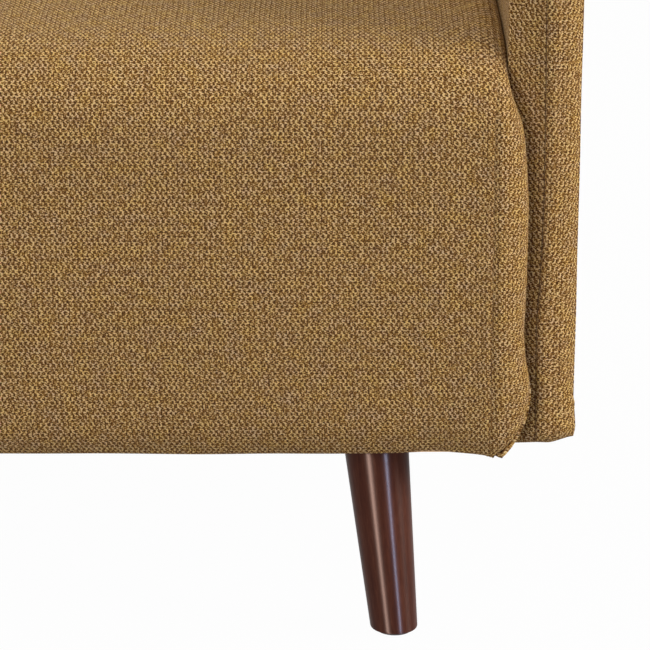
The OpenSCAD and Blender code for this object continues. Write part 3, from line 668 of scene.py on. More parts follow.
def arm_outline(counts):
    """The rim of an arm's face as four sides, bottom, rear, top and front, each from one corner's
    middle to the next. A sample is (point on the rim, outward normal, measure along the side, way
    of the side)."""
    slope = math.tan(ARM_SLOPE)
    y = (rear_y(ARM_FRONT_HEIGHT - slope * ARM_FRONT_Y)) / (1 - math.tan(BACK_RAKE) * slope)
    ends = [Vector((ARM_FRONT_Y, HEM_Z)), Vector((rear_y(HEM_Z), HEM_Z)),
            Vector((y, ARM_FRONT_HEIGHT + slope * (y - ARM_FRONT_Y))),
            Vector((ARM_FRONT_Y, ARM_FRONT_HEIGHT))]
    sides = []
    for k, count in enumerate(counts):
        before, begin, end, after = (ends[(k + j) % 4] for j in (-1, 0, 1, 2))
        way = (end - begin).normalized()
        turn_in = (begin - before).angle(way)
        turn_out = way.angle(after - end)
        r_in, r_out = ARM_CORNERS[k], ARM_CORNERS[(k + 1) % 4]
        reach_in, reach_out = r_in * math.tan(turn_in / 2), r_out * math.tan(turn_out / 2)
        arc_in, arc_out = r_in * turn_in / 2, r_out * turn_out / 2
        straight = (end - begin).length - reach_in - reach_out
        inward = turned(way, math.pi / 2)
        samples = []
        for run in spread(0, arc_in + straight + arc_out, count):
            if run < arc_in:
                normal = turned(-inward, -(arc_in - run) / r_in)
                point = begin + way * reach_in + inward * r_in + normal * r_in
            elif run > arc_in + straight:
                normal = turned(-inward, (run - arc_in - straight) / r_out)
                point = end - way * reach_out + inward * r_out + normal * r_out
            else:
                normal = -inward
                point = begin + way * (reach_in + run - arc_in)
            measure = begin.dot(way) + reach_in + run - arc_in
            samples.append((point - normal * ARM_EDGE, normal, measure, way))
        sides.append(samples)
    return sides


ARM_COLUMNS, ARM_ROWS = 96, 88
BOTTOM, REAR, TOP, FRONT = arm_outline([ARM_COLUMNS, ARM_ROWS, ARM_COLUMNS, ARM_ROWS])
# How far out each side of the rim lies, on the cut cloth
RIM_AT = [line[len(line) // 2][0].dot(line[len(line) // 2][1]) for line in (BOTTOM, REAR, TOP, FRONT)]
print("arm's rim:", [[round(c, 3) for c in side[0][0]] for side in (BOTTOM, REAR, TOP, FRONT)])


# %% Lay one half of an arm's cover
# The cloth over the edge as (way from the face towards the seam, height over the crest) in mm
OUTER_EDGE = [(0.45, -12.6), (1.0, -11.9), (1.9, -10.6), (3.0, -9.1), (4.3, -7.6), (5.8, -6.2), (7.4, -5.0),
              (9.2, -3.9), (11.0, -2.95), (12.9, -2.15), (14.6, -1.55), (15.8, -1.2), (16.7, -0.6), (17.5, 0.1),
              (18.8, 0.45), (20.6, 0.55), (22.4, 0.65), (23.6, 0.6), (24.6, 0.1), (25.3, -0.6), (25.7, -1.3),
              (25.9, -2.0)]
INNER_EDGE = [(0.4, -12.7), (1.2, -12.0), (2.3, -11.1), (3.8, -10.0), (5.6, -8.9), (8, -7.8), (10.5, -6.8),
              (13, -5.9), (15.5, -5.0), (18, -4.2), (20.5, -3.3), (22.5, -2.7), (24.2, -2.3), (25.3, -2.1),
              (25.9, -2.0)]
# How far, in mm, the seam leans away from its middle line at a height
SEAM_LEAN = [(0.16, -1.8), (0.20, -2.5), (0.236, -2.6), (0.28, -0.6), (0.33, 0.6), (0.40, 0.2), (0.47, -0.6)]
# The outer half at the front: its hem rises, and its lower end flares out
HEM_RISE, HEM_FLARE = 4.5, 2.6 * MM
# Under the arm the cloth turns round a corner this wide, in mm
TIGHT_TURN = 2.2


def arm_half(name, side, face_x, towards, edge, crown, window):
    """One half of an arm's cover. towards is 1 or -1, the way in X from the face to the seam, and
    window says where the face is free to swell."""
    bm = bmesh.new()
    painted_slant_shade = bm.verts.layers.float.new("painted_slant_shade")
    # Seen from outside, the cloth's own X runs to the right on every face
    flip = -side * towards

    def face_point(i, j):
        """A crossing of the flat face: its point, and its measures on the face."""
        a, b = i / ARM_COLUMNS, j / ARM_ROWS
        low, high = BOTTOM[i][0], TOP[ARM_COLUMNS - i][0]
        front, rear = FRONT[ARM_ROWS - j][0], REAR[j][0]
        flat = (low * (1 - b) + high * b + front * (1 - a) + rear * a
                - BOTTOM[0][0] * (1 - a) * (1 - b) - REAR[0][0] * a * (1 - b)
                - TOP[0][0] * a * b - FRONT[0][0] * (1 - a) * b)
        swell = crown * window(flat) * (1 - abs(2 * a - 1) ** 4) * (1 - abs(2 * b - 1) ** 4)
        swell += unevenness(flat.x, flat.y, (14, 5 * side + face_x * 40, 0.5)) * MM * window(flat)
        return Vector((side * (face_x - towards * swell), flat.x, flat.y)), flat

    crossings = lay_cloth(bm, range(ARM_COLUMNS + 1), range(ARM_ROWS + 1),
                          lambda i, j: face_point(i, j)[0],
                          lambda i, j: (flip * face_point(i, j)[1].x, face_point(i, j)[1].y))
    # Each crossing on the rim, with the samples of the sides that meet there
    known = {}
    for crossing, (i, j) in crossings.items():
        ways = {0: BOTTOM[i] if j == 0 else None,
                1: REAR[j] if i == ARM_COLUMNS else None,
                2: TOP[ARM_COLUMNS - i] if j == ARM_ROWS else None,
                3: FRONT[ARM_ROWS - j] if i == 0 else None}
        ways = {k: sample for k, sample in ways.items() if sample}
        if ways:
            known[crossing] = ways
    border = [e for e in bm.edges if e.is_boundary]
    layer = bm.loops.layers.uv.get("cut")
    steps, run = [], 0.0
    for (x, h), (x2, h2) in zip([(0, -ARM_EDGE / MM)] + edge, edge):
        run += math.hypot(x2 - x, h2 - h)
        steps.append((x2, h2, run))
    gone = 0.0
    for x, height, run in steps:
        made = bmesh.ops.extrude_edge_only(bm, edges=border)["geom"]
        fresh = {g for g in made if isinstance(g, bmesh.types.BMVert)}
        quads = [g for g in made if isinstance(g, bmesh.types.BMFace)]
        for corner in fresh:
            ends = (e.other_vert(corner) for e in corner.link_edges)
            old = next(end for end in ends if end not in fresh)
            known[corner] = known[old]
            # Painted shade round the arm's edge: how far one slant of the weave fades there
            corner[painted_slant_shade] = flip * ease(x, 0.4, 3) * (1 - ease(x, 17, 24) if towards < 0 else 0.6)
            point, normal = next(iter(known[corner].values()))[:2]
            lean = reading(SEAM_LEAN, point.y) * MM * ease(x, 9, 22) * (normal.x < -0.5)
            rough = unevenness(point.x, point.y, (30, x * 0.05 + side, 0.5)) * ease(x, 2, 9)
            # Under the arm there is no padding, so the cloth turns sharply and lies flat
            tight = ease(-normal.y, 0.2, 0.9)
            flat_height = -ARM_EDGE / MM * max(0.0, 1 - x / TIGHT_TURN) ** 2
            if towards < 0:
                rising = ease(point.x, ARM_FRONT_Y + 0.12, ARM_FRONT_Y + 0.03)
                flat_height -= HEM_RISE * ease(x, 19, 2) * rising
            flare = HEM_FLARE * ease(point.y, 0.19, 0.15) * (1 - ease(x, 0, 20)) * (towards < 0)
            height_here = height * (1 - tight) + flat_height * tight + rough
            at = point + normal * (ARM_EDGE + height_here * MM)
            corner.co = (side * (face_x + towards * (x * MM - flare) + lean), at.x, at.y)
        for quad in quads:
            shared = set.intersection(*[set(known[c]) for c in quad.verts])
            k = min(shared)
            for loop in quad.loops:
                measure, way = known[loop.vert][k][2:]
                straight = turned(way, -math.pi / 2)
                far = (run if loop.vert in fresh else gone) * MM
                flat = way * measure + straight * (RIM_AT[k] + far)
                loop[layer].uv = (flip * flat.x, flat.y)
        border = [e for e in bm.edges if e.is_boundary and all(v in fresh for v in e.verts)]
        gone = run
    return into_piece(bm, name, cloth)


def outside(flat):
    """The outer face swells all over."""
    return 1.0


def beside_seat(flat):
    """The inner face swells only where neither seat nor back cushion presses on it."""
    over_seat = ease(flat.y, SEAT_Z + 0.01, SEAT_Z + 0.06)
    return over_seat * (1 - ease(flat.x, SEAT_REAR_Y - 0.08, SEAT_REAR_Y - 0.02))


for side, word in ((-1, "left"), (1, "right")):
    outer = arm_half(f"arm_{word}_outer_half", side, arm_high.x, -1, OUTER_EDGE, 3.5 * MM, outside)
    inner = arm_half(f"arm_{word}_inner_half", side, inner_low.x, 1, INNER_EDGE, 3.0 * MM, beside_seat)
    for piece, half in ((outer, "outer"), (inner, "inner")):
        cloth_thickness(piece, COVER_T)
        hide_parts(f"arm_{word}_{half}_cover", f"arm_{word}_{half}_foam")
    print(word, "arm:", len(outer.data.polygons) + len(inner.data.polygons), "faces")

# %% [markdown]
# ## The back cushions
# Two cushions lean against the back frame. Each is a main panel that comes over the back's top
# and down the front, with a boxing sewn in at either end. A pillow's shape is hard to draw and easy
# to fill, so the panels are first laid over the plain padding, and then a cloth simulation blows
# them up a little, with the rear seam and the hidden edges held fast.

# %% The back's own measures
# The front leans from the kink up. The corners' radii are those at the rear, in front and at the kink
BACK_LEAN = math.radians(19)
BACK_KINK_Z = SEAT_Z - 15 * MM
BACK_CORNERS = [28 * MM, 45 * MM, 30 * MM]
BACK_LOW_Z = 0.36
BACK_END_ROUND = 26 * MM
BACK_REAR_ROUND = 6 * MM
BACK_STEP = 11 * MM
BACK_FRONT_Y = cushion_low.y
BACK_TOP_Z = cushion_high.z
BACK_SEAM_Z = rear_high.z
CENTRE_GAP = cushion_low.x

back_path = rounded_path(
    [(rear_y(BACK_SEAM_Z) - 0.2 * MM, BACK_SEAM_Z - 1 * MM), (rear_y(BACK_TOP_Z), BACK_TOP_Z),
     (BACK_FRONT_Y + (BACK_TOP_Z - BACK_KINK_Z) * math.tan(BACK_LEAN), BACK_TOP_Z),
     (BACK_FRONT_Y, BACK_KINK_Z), (BACK_FRONT_Y, BACK_LOW_Z)], BACK_CORNERS, BACK_STEP)
corner_row = min(range(len(back_path)), key=lambda k: (back_path[k][1] - Vector((-0.6, 0.8))).length)
print("back path:", len(back_path), "rows,", round(back_path[-1][2], 3), "m, front corner at row", corner_row)


# %% Lay a back cushion
def end_round(row):
    """The ends are rounded less at the rear seam, where they meet the flat rear panel."""
    return BACK_REAR_ROUND + (BACK_END_ROUND - BACK_REAR_ROUND) * ease(row[2], 0.0, 0.06)


def end_point(row, angle):
    """Distance from the end and place in the side view, at an angle round the cushion's end."""
    point, normal = row[:2]
    radius = end_round(row)
    return radius * (1 - math.sin(angle)), point - normal * radius * (1 - math.cos(angle))


def laid_cushion(low_x, high_x):
    """The cloth of a back cushion between two ends, not yet filled."""
    bm = bmesh.new()
    held = bm.verts.layers.float.new("held")
    seam = bm.verts.layers.float.new("from_seam")
    half = (high_x - low_x) / 2 - BACK_END_ROUND
    middle = (low_x + high_x) / 2
    arc = BACK_END_ROUND * SEAM_TURN
    near = [half + arc * f for f in (0.25, 0.5, 0.7, 0.85, 0.94, 1)]
    flat = spread(-half, half, round(2 * half / BACK_STEP))
    across = [-w for w in reversed(near)] + flat + near
    path_ends = (back_path[0], back_path[-1])

    def main_at(w, row):
        """A crossing of the main panel, w to the right of its middle."""
        inside = max(0.0, abs(w) - half) / arc
        depth, at = end_point(row, SEAM_TURN * inside)
        if inside == 0:
            return Vector((middle + w, at.x, at.y))
        return Vector((middle + math.copysign(half + BACK_END_ROUND - depth, w), at.x, at.y))

    made = lay_cloth(bm, across, back_path, main_at, lambda w, row: (w + low_x, -row[2]))
    for crossing, (w, row) in made.items():
        crossing[seam] = half + arc - abs(w)
        crossing[held] = float(row in path_ends)

    for side, edge in ((-1, low_x), (1, high_x)):
        def boxing_at(angle, row):
            """A crossing of the boxing, which goes on round the end."""
            depth, at = end_point(row, angle)
            return Vector((edge - side * depth, at.x, at.y))

        def boxing_cut(angle, row):
            """The boxing's flat measures, unrolled outwards from the flat end."""
            at = end_point(row, math.pi / 2)[1] + row[1] * end_round(row) * (math.pi / 2 - angle)
            return (side * at.x, at.y)

        angles = [SEAM_TURN + (math.pi / 2 - SEAM_TURN) * f for f in (0, .06, .15, .3, .5, .75, 1)]
        made = lay_cloth(bm, angles, back_path, boxing_at, boxing_cut)
        for crossing, (angle, row) in made.items():
            crossing[seam] = BACK_END_ROUND * (angle - SEAM_TURN)
            crossing[held] = float(row in path_ends)
        rim = [end_point(row, math.pi / 2)[1] for row in back_path]
        foot = Vector((rear_y(BACK_LOW_Z) - 0.5 * MM, BACK_LOW_Z))
        rise = len(rim) - 1 - corner_row

        def face_flat(i, j):
            """A crossing of the flat end, in the side view."""
            a, b = i / corner_row, j / rise
            top, front = rim[i], rim[len(rim) - 1 - j]
            bottom, rear = foot.lerp(rim[-1], a), foot.lerp(rim[0], b)
            return (bottom * (1 - b) + top * b + rear * (1 - a) + front * a
                    - foot * (1 - a) * (1 - b) - rim[0] * (1 - a) * b
                    - rim[corner_row] * a * b - rim[-1] * a * (1 - b))

        made = lay_cloth(bm, range(corner_row + 1), range(rise + 1),
                         lambda i, j: Vector((edge, face_flat(i, j).x, face_flat(i, j).y)),
                         lambda i, j: (side * face_flat(i, j).x, face_flat(i, j).y))
        for crossing, (i, j) in made.items():
            # The flat end is far from any seam
            crossing[seam] = 50 * MM
            hidden = crossing.co.z < inner_high.z + 0.01 or side * edge < 0.1
            crossing[held] = float(i == 0 or j == 0 or hidden)
    bmesh.ops.remove_doubles(bm, verts=bm.verts, dist=1e-5)
    bmesh.ops.recalc_face_normals(bm, faces=bm.faces)
    return bm


print("end radius at the rear and in front:", end_round(back_path[0]), end_round(back_path[-1]))

# %% Fill a cushion
FILL_PRESSURE = 4
FILL_FRAMES = 20
FILL_REACH = 24 * MM
SLACK = 0.03
# How far a filled cushion may lean over the arm and against the other cushion
FILL_OVER = 7 * MM


def filled(bm, name, low_x, high_x):
    """Blows up the laid cloth with a cloth simulation."""
    mesh = bpy.data.meshes.new(name)
    bm.to_mesh(mesh)
    bm.free()
    start = [v.co.copy() for v in mesh.vertices]
    piece = bpy.data.objects.new(name, mesh)
    bpy.context.scene.collection.objects.link(piece)
    fast = piece.vertex_groups.new(name="held_fast")
    for v, weight in enumerate(mesh.attributes["held"].data):
        fast.add([v], weight.value, "REPLACE")
    filling = piece.modifiers.new("filling", "CLOTH")
    filling.settings.quality = 5
    filling.settings.mass = 0.3
    filling.settings.vertex_group_mass = "held_fast"
    filling.settings.use_pressure = True
    filling.settings.uniform_pressure_force = FILL_PRESSURE
    filling.settings.shrink_min = -SLACK
    filling.settings.effector_weights.gravity = 0
    filling.settings.tension_stiffness = 15
    filling.settings.bending_stiffness = 2
    filling.point_cache.frame_start = 1
    filling.point_cache.frame_end = FILL_FRAMES
    for frame_number in range(1, FILL_FRAMES + 1):
        bpy.context.scene.frame_set(frame_number)
    blown = piece.evaluated_get(bpy.context.evaluated_depsgraph_get())
    ends = [v.co.copy() for v in blown.data.vertices]
    piece.modifiers.remove(filling)
    piece.vertex_groups.remove(fast)
    bpy.context.scene.frame_set(1)
    for v, here, there in zip(mesh.vertices, start, ends):
        way = there - here
        if way.length > 0:
            way *= FILL_REACH * math.tanh(way.length / FILL_REACH) / way.length
        v.co = here + way
    for v in mesh.vertices:
        # No further than the neighbours allow: the other cushion, the arms and the seat
        beyond = FILL_OVER * ease(v.co.z, inner_high.z + 0.01, inner_high.z + 0.07)
        v.co.x = max(v.co.x, low_x - (beyond if low_x < -0.1 else 0))
        v.co.x = min(v.co.x, high_x + (beyond if high_x > 0.1 else 0))
        v.co.y = min(v.co.y, rear_y(v.co.z) - 0.1 * MM)
        if v.co.z < SEAT_Z - 0.02:
            v.co.y = max(v.co.y, BACK_FRONT_Y)
    return piece


def back_cushion(word, low_x, high_x):
    """Fills a laid cushion, subdivides it once, and gives it its seams and a slight unevenness."""
    piece = filled(laid_cushion(low_x, high_x), "back_cushion_" + word, low_x, high_x)
    finer = piece.modifiers.new("finer", "SUBSURF")
    finer.levels = finer.render_levels = 1
    bpy.context.view_layer.update()
    fine = bpy.data.meshes.new_from_object(piece.evaluated_get(bpy.context.evaluated_depsgraph_get()))
    bpy.data.objects.remove(piece)
    bm = bmesh.new()
    bm.from_mesh(fine)
    bm.normal_update()
    seam = bm.verts.layers.float["from_seam"]
    for v in bm.verts:
        rough = noise.noise(v.co * 11) * 0.9 + noise.noise(v.co * 27) * 0.4
        inside = high_x - 0.01 > v.co.x > low_x + 0.01
        v.co += v.normal * (seam_groove(v[seam]) + rough * MM * inside)
    made = into_piece(bm, "back_cushion_" + word, cloth, outward=False)
    cloth_thickness(made, COVER_T)
    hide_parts(f"back_cover_{word}", f"back_foam_{word}")
    print(word, "back cushion:", len(made.data.polygons), "faces")


back_cushion("right", CENTRE_GAP, SEAT_HALF)
back_cushion("left", -SEAT_HALF, -CENTRE_GAP)

# %% [markdown]
# ## The rear panel and the hidden hems
# The rear is closed by one flat panel, tacked under the top seam and turned under at the hem. Its
# edges are drawn in, so it stands out a little in the middle. Beside each arm a plain strip of the
# seat's cover runs down to the hem. Both are grids laid like the rest.

# %% Rear panel
PANEL_CROWN = 2.5 * MM
PANEL_EDGE = 5 * MM
HEM_FOLD = 4 * MM


def folded_hem(top, x_or_y, inward):
    """A path from the top down to the hem, where it turns under, as (x or y, height, run)."""
    drop = top - HEM_Z - HEM_FOLD
    samples = [(x_or_y, top - d, d) for d in spread(0, drop, max(4, round(drop / (9 * MM))))]
    for t in spread(0, math.pi / 2, 5)[1:]:
        samples.append((x_or_y + inward * HEM_FOLD * (1 - math.cos(t)), HEM_Z + HEM_FOLD * (1 - math.sin(t)),
                        drop + HEM_FOLD * t))
    end = samples[-1]
    for d in spread(0, HEM_RETURN, 3)[1:]:
        samples.append((end[0] + inward * d, HEM_Z, end[2] + d))
    return samples


def rear_panel():
    """The rear panel's cloth; each column is (end, x or angle round that end)."""
    bm = bmesh.new()
    inner = spread(-SEAT_HALF + PANEL_EDGE, SEAT_HALF - PANEL_EDGE, 150)
    turns = spread(0, math.pi / 2, 4)[1:]
    across = [(-1, t) for t in reversed(turns)] + [(0, x) for x in inner] + [(1, t) for t in turns]
    rows = folded_hem(BACK_SEAM_Z - 0.5 * MM, 0.0, 1)

    def place(column, row):
        """A crossing of the panel, which follows the rear face's rake."""
        which, value = column
        forward, z = row[:2]
        x = value if which == 0 else which * (SEAT_HALF - PANEL_EDGE + PANEL_EDGE * math.sin(value))
        drawn = 0 if which == 0 else PANEL_EDGE * (1 - math.cos(value))
        up = min(1, max(0, (z - HEM_Z) / (BACK_SEAM_Z - HEM_Z)))
        crown = PANEL_CROWN * (1 - abs(x / SEAT_HALF) ** 6) * (1 - abs(2 * up - 1) ** 6)
        rough = unevenness(x, z, (6, 9.7, 1.0), (17, 2.2, 0.4)) * MM
        tuck = -1.6 * MM * math.exp(-((BACK_SEAM_Z - z) / (2.5 * MM)) ** 2)
        return Vector((x, rear_y(z) - forward - drawn + crown + rough * (which == 0) * up + tuck, z))

    def cut(column, row):
        """Its flat measures: seen from behind, X runs the other way."""
        which, value = column
        x = value if which == 0 else which * (SEAT_HALF - PANEL_EDGE + PANEL_EDGE * value)
        return (-x, -row[2])

    lay_cloth(bm, across, rows, place, cut)
    return into_piece(bm, "rear_panel", cloth)


panel = rear_panel()
cloth_thickness(panel, COVER_T)
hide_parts("back_outer_cover")


# %% Side strips of the seat's cover
STRIP_TOP = 0.43
STRIP_FRONT_Y, STRIP_REAR_Y = ARM_FRONT_Y + 30 * MM, rear_y(HEM_Z) - 8 * MM
strip_rows = folded_hem(STRIP_TOP, SEAT_HALF - 0.1 * MM, -1)

for side, word in ((-1, "left"), (1, "right")):
    bm = bmesh.new()
    lay_cloth(bm, spread(STRIP_FRONT_Y, STRIP_REAR_Y, 60), strip_rows,
              lambda y, row: Vector((side * row[0], y, row[1])), lambda y, row: (side * y, -row[2]))
    strip = into_piece(bm, "seat_side_strip_" + word, cloth)
    cloth_thickness(strip, COVER_T)
    print(strip.name, len(strip.data.polygons), "faces")

# %% [markdown]
# ## The dust cover
# A thin black non-woven sheet is stapled under the frame. It is cut round the legs and sags a
# little between the staples. A grid with lines along the cuts gives it its holes.

# %% Non-woven dust cover
def spunbond():
    """Black spunbond fleece: matt, with the small pressed dots that bond its fibres."""
    made, tree, out = blank_material("black_spunbond_fleece")
    place = add(tree, "TexCoord").outputs["Object"]
    # Bonding points every 2.2 mm, drawn twice as coarse so that they show
    dots = add(tree, "TexVoronoi", {"Vector": place, "Scale": 1 / (4.4 * MM), "Randomness": 0.15})
    fibres = add(tree, "TexNoise", {"Vector": place, "Scale": 1 / (2 * MM), "Detail": 3.0})
    tone = add(tree, "ValToRGB", {"Fac": fibres}, stops=[(0.3, "#121214"), (0.7, "#242427")])
    height = add(tree, "Math", {0: dots, 1: 0.6, 2: fibres}, operation="MULTIPLY_ADD")
    relief = add(tree, "Bump", {"Height": height, "Strength": 0.5, "Distance": 0.2 * MM})
    surface = add(tree, "BsdfPrincipled", {"Base Color": tone, "Normal": relief, "Roughness": 0.85,
                                           "Specular IOR Level": 0.25, "Sheen Weight": 0.1})
    tree.links.new(surface.outputs[0], out.inputs[0])
    return made


dust_low, dust_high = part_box("dust_cover")
# The front edge is tacked behind the hem's fold
DUST_INSET = 14 * MM
DUST_STEP = 14 * MM
DUST_SAG = 2.2 * MM
STAPLE_PITCH = 60 * MM
plate_low, plate_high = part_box("leg_plates")
PLATE_HALF = 25 * MM
LEG_CUT = 26 * MM
CENTRE_CUT = 21 * MM
leg_tops = [(x, y) for x in (plate_low.x + PLATE_HALF, plate_high.x - PLATE_HALF)
            for y in (plate_low.y + PLATE_HALF, plate_high.y - PLATE_HALF)]


def lines_through(low, high, cuts, step):
    """Grid lines from low to high that include every cut."""
    marks = sorted({low, high, *cuts})
    lines = []
    for a, b in zip(marks, marks[1:]):
        lines += spread(a, b, max(1, round((b - a) / step)))[:-1]
    return lines + [high]


def dust_sheet():
    """The dust cover with its holes, before its cloth is given a thickness."""
    bm = bmesh.new()
    cuts_x, cuts_y = ([top[k] + d for top in leg_tops for d in (-LEG_CUT, LEG_CUT)]
                      + [-CENTRE_CUT, 0, CENTRE_CUT] for k in (0, 1))
    xs = lines_through(dust_low.x, dust_high.x, [min(c, dust_high.x) for c in cuts_x], DUST_STEP)
    ys = lines_through(dust_low.y + DUST_INSET, dust_high.y, cuts_y, DUST_STEP)

    def place(x, y):
        """A crossing of the sheet, with its sag and the small hollows between the staples."""
        edge = min(dust_high.x - abs(x), y - dust_low.y - DUST_INSET, dust_high.y - y)
        sag = DUST_SAG * ease(edge, 0.02, 0.2)
        staples = 0.5 * MM * (1 - math.cos(2 * math.pi * (x + y) / STAPLE_PITCH))
        staples *= ease(edge, 0.0, 0.01) * (1 - ease(edge, 0.01, 0.06))
        rough = unevenness(x, y, (9, 0, 0.5)) * MM * ease(edge, 0.01, 0.05)
        return Vector((x, y, dust_high.z - 0.2 * MM - sag - staples + rough))

    lay_cloth(bm, xs, ys, place, lambda x, y: (x, y))
    holes = [(x, y, LEG_CUT) for x, y in leg_tops] + [(0, 0, CENTRE_CUT)]
    cut_out = [f for f in bm.faces for middle in [f.calc_center_median()]
               if any(abs(middle.x - x) < r and abs(middle.y - y) < r for x, y, r in holes)]
    bmesh.ops.delete(bm, geom=cut_out, context="FACES")
    # The hole round the middle leg is round
    for v in bm.verts:
        if v.is_boundary and max(abs(v.co.x), abs(v.co.y)) < CENTRE_CUT * 1.01:
            way = Vector((v.co.x, v.co.y)).normalized() * CENTRE_CUT
            v.co.x, v.co.y = way
    return into_piece(bm, "dust_cover_sheet", spunbond())


dust = dust_sheet()
if dust.data.polygons[0].normal.z > 0:
    dust.data.flip_normals()
cloth_thickness(dust, 0.4 * MM)
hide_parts("dust_cover")
print("dust cover:", len(dust.data.polygons), "faces, flat",
      [round(c, 3) for c in (dust_high.x - dust_low.x, dust_high.y - dust_low.y)])

# %% [markdown]
# ## The legs
# The legs are turned from beech, stained to a dark walnut brown and lacquered. A lathe gives a
# straight taper, a saw cut makes the foot level with the floor, and sandpaper takes the edge off.
# The same steps make the mesh: a cone, a slanting cut, a bevel, and then the splay. Every leg
# keeps its measures from the lathe in an attribute, so that the grain runs along each one, and a UV
# map named turning tells which way is lengthwise, so that the highlights do too.

# %% Lacquered wood
def lacquered_beech():
    """Beech under walnut stain and clear lacquer: short dark flecks along the grain, a soft
    change of tone, and a sheen that sanding draws out along the leg."""
    made, tree, out = blank_material("walnut_stained_lacquered_beech")
    lathe = add(tree, "Attribute", attribute_name="lathe")
    place = lathe.outputs["Vector"]
    long_grain = add(tree, "Mapping", {"Vector": place, "Scale": (1 / (4 * MM), 1 / (4 * MM), 1 / (75 * MM))})
    grain = add(tree, "TexNoise", {"Vector": long_grain, "Scale": 1.0, "Detail": 4.0, "Roughness": 0.6})
    fleck_way = add(tree, "Mapping", {"Vector": place, "Scale": (1 / (0.9 * MM), 1 / (0.9 * MM), 1 / (8 * MM))})
    flecks = add(tree, "TexNoise", {"Vector": fleck_way, "Scale": 1.0, "Detail": 2.0})
    mixed = add(tree, "Math", {0: grain, 1: 0.65}, operation="MULTIPLY")
    mixed = add(tree, "Math", {0: flecks, 1: 0.35, 2: mixed}, operation="MULTIPLY_ADD")
    tone = add(tree, "ValToRGB", {"Fac": mixed},
               stops=[(0.30, "#3f1c13"), (0.50, "#512a1e"), (0.68, "#61382a")])
    relief = add(tree, "Bump", {"Height": flecks, "Strength": 0.15, "Distance": 0.05 * MM})
    lengthwise = add(tree, "Tangent", direction_type="UV_MAP", uv_map="turning")
    surface = add(tree, "BsdfPrincipled", {
        "Base Color": tone, "Normal": relief, "Roughness": 0.44, "Specular IOR Level": 0.12,
        "Anisotropic": 1.0, "Tangent": lengthwise})
    tree.links.new(surface.outputs[0], out.inputs[0])
    return made


leg_paint = lacquered_beech()
print("legs' finish:", len(leg_paint.node_tree.nodes), "nodes")

# %% Turn the legs
glide_low, glide_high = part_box("leg_glides")
LEG_TOP_RADIUS = 23.6 * MM
LEG_FOOT_RADIUS = 17.25 * MM
CENTRE_TOP_RADIUS = 20 * MM
FOOT_EDGE = 1.6 * MM
TOP_EDGE = 0.8 * MM
GLIDE_RADIUS = 14 * MM


def turned_leg(name, foot, hem, top_radius):
    """A tapered leg whose axis runs from foot, on the floor, through hem."""
    node_low, node_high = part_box(name)
    axis = (hem - foot).normalized()
    splay = math.acos(axis.z)
    length = (node_high.z - top_radius * math.sin(splay)) / axis.z
    lathe_to_place = Matrix.Translation(foot) @ axis.to_track_quat("Z", "Y").to_matrix().to_4x4()
    place_to_lathe = lathe_to_place.inverted()
    below = LEG_FOOT_RADIUS
    grow = (top_radius - LEG_FOOT_RADIUS) / length
    bm = bmesh.new()
    bmesh.ops.create_cone(bm, cap_ends=True, segments=96, radius1=LEG_FOOT_RADIUS - grow * below,
                          radius2=top_radius, depth=length + below,
                          matrix=Matrix.Translation((0, 0, (length - below) / 2)))
    floor_way = place_to_lathe.to_3x3() @ Vector((0, 0, 1))

    def cut_at(z, clear):
        """Cuts the cone level with the floor, and clears what lies below if it's asked to."""
        return bmesh.ops.bisect_plane(bm, geom=bm.verts[:] + bm.edges[:] + bm.faces[:], clear_inner=clear,
                                      plane_co=place_to_lathe @ Vector((foot.x, foot.y, z)), plane_no=floor_way)

    rim = [e for e in cut_at(node_low.z, True)["geom_cut"] if isinstance(e, bmesh.types.BMEdge)]
    bmesh.ops.holes_fill(bm, edges=rim)
    bmesh.ops.bevel(bm, geom=rim, offset=FOOT_EDGE, offset_type="OFFSET", segments=5, profile=0.5,
                    affect="EDGES", material=-1)
    # Two lines just above the foot keep the shading straight
    for above in (0.8 * MM, 4 * MM):
        cut_at(node_low.z + FOOT_EDGE + above, False)
    top_rim = [e for e in bm.edges if all(abs(v.co.z - length) < 1e-6 for v in e.verts)]
    bmesh.ops.bevel(bm, geom=top_rim, offset=TOP_EDGE, offset_type="OFFSET", segments=3, profile=0.5,
                    affect="EDGES", material=-1)
    lathe = bm.verts.layers.float_vector.new("lathe")
    for v in bm.verts:
        # Each leg is from another place in the wood
        v[lathe] = v.co + Vector((foot.x, foot.y, 0)) * 3
    turning = bm.loops.layers.uv.new("turning")
    for face in bm.faces:
        middle = face.calc_center_median().xy
        for loop in face.loops:
            angle = loop.vert.co.xy.angle_signed(middle, 0.0)
            loop[turning].uv = (loop.vert.co.z, angle * top_radius)
    bm.transform(lathe_to_place)
    piece = into_piece(bm, name + "_turned", leg_paint)
    for face in piece.data.polygons:
        face.use_smooth = len(face.vertices) < 5
    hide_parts(name)
    return piece


for word, plate_y, foot_y in (("front", plate_low.y + PLATE_HALF, glide_low.y + GLIDE_RADIUS),
                              ("rear", plate_high.y - PLATE_HALF, glide_high.y - GLIDE_RADIUS)):
    for side, hand in ((-1, "left"), (1, "right")):
        hem = Vector((side * (plate_high.x - PLATE_HALF), plate_y, HEM_Z))
        foot = Vector((side * (glide_high.x - GLIDE_RADIUS), foot_y, 0))
        leg = turned_leg(f"leg_{word}_{hand}", foot, hem, LEG_TOP_RADIUS)
        splay = math.degrees(math.acos((hem - foot).normalized().z))
        print(leg.name, len(leg.data.polygons), "faces, splay", round(splay, 2))
turned_leg("centre_leg", Vector((0, 0, 0)), Vector((0, 0, HEM_Z)), CENTRE_TOP_RADIUS)

# %% [markdown]
# ## Finishes of the frame
# The boards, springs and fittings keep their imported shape. They are hidden in the finished sofa
# but not left grey, because the frame may be looked at on its own. Sawn pine has wide early wood
# and narrow dark late wood, so its rings are waves bent by noise, stretched along each board.

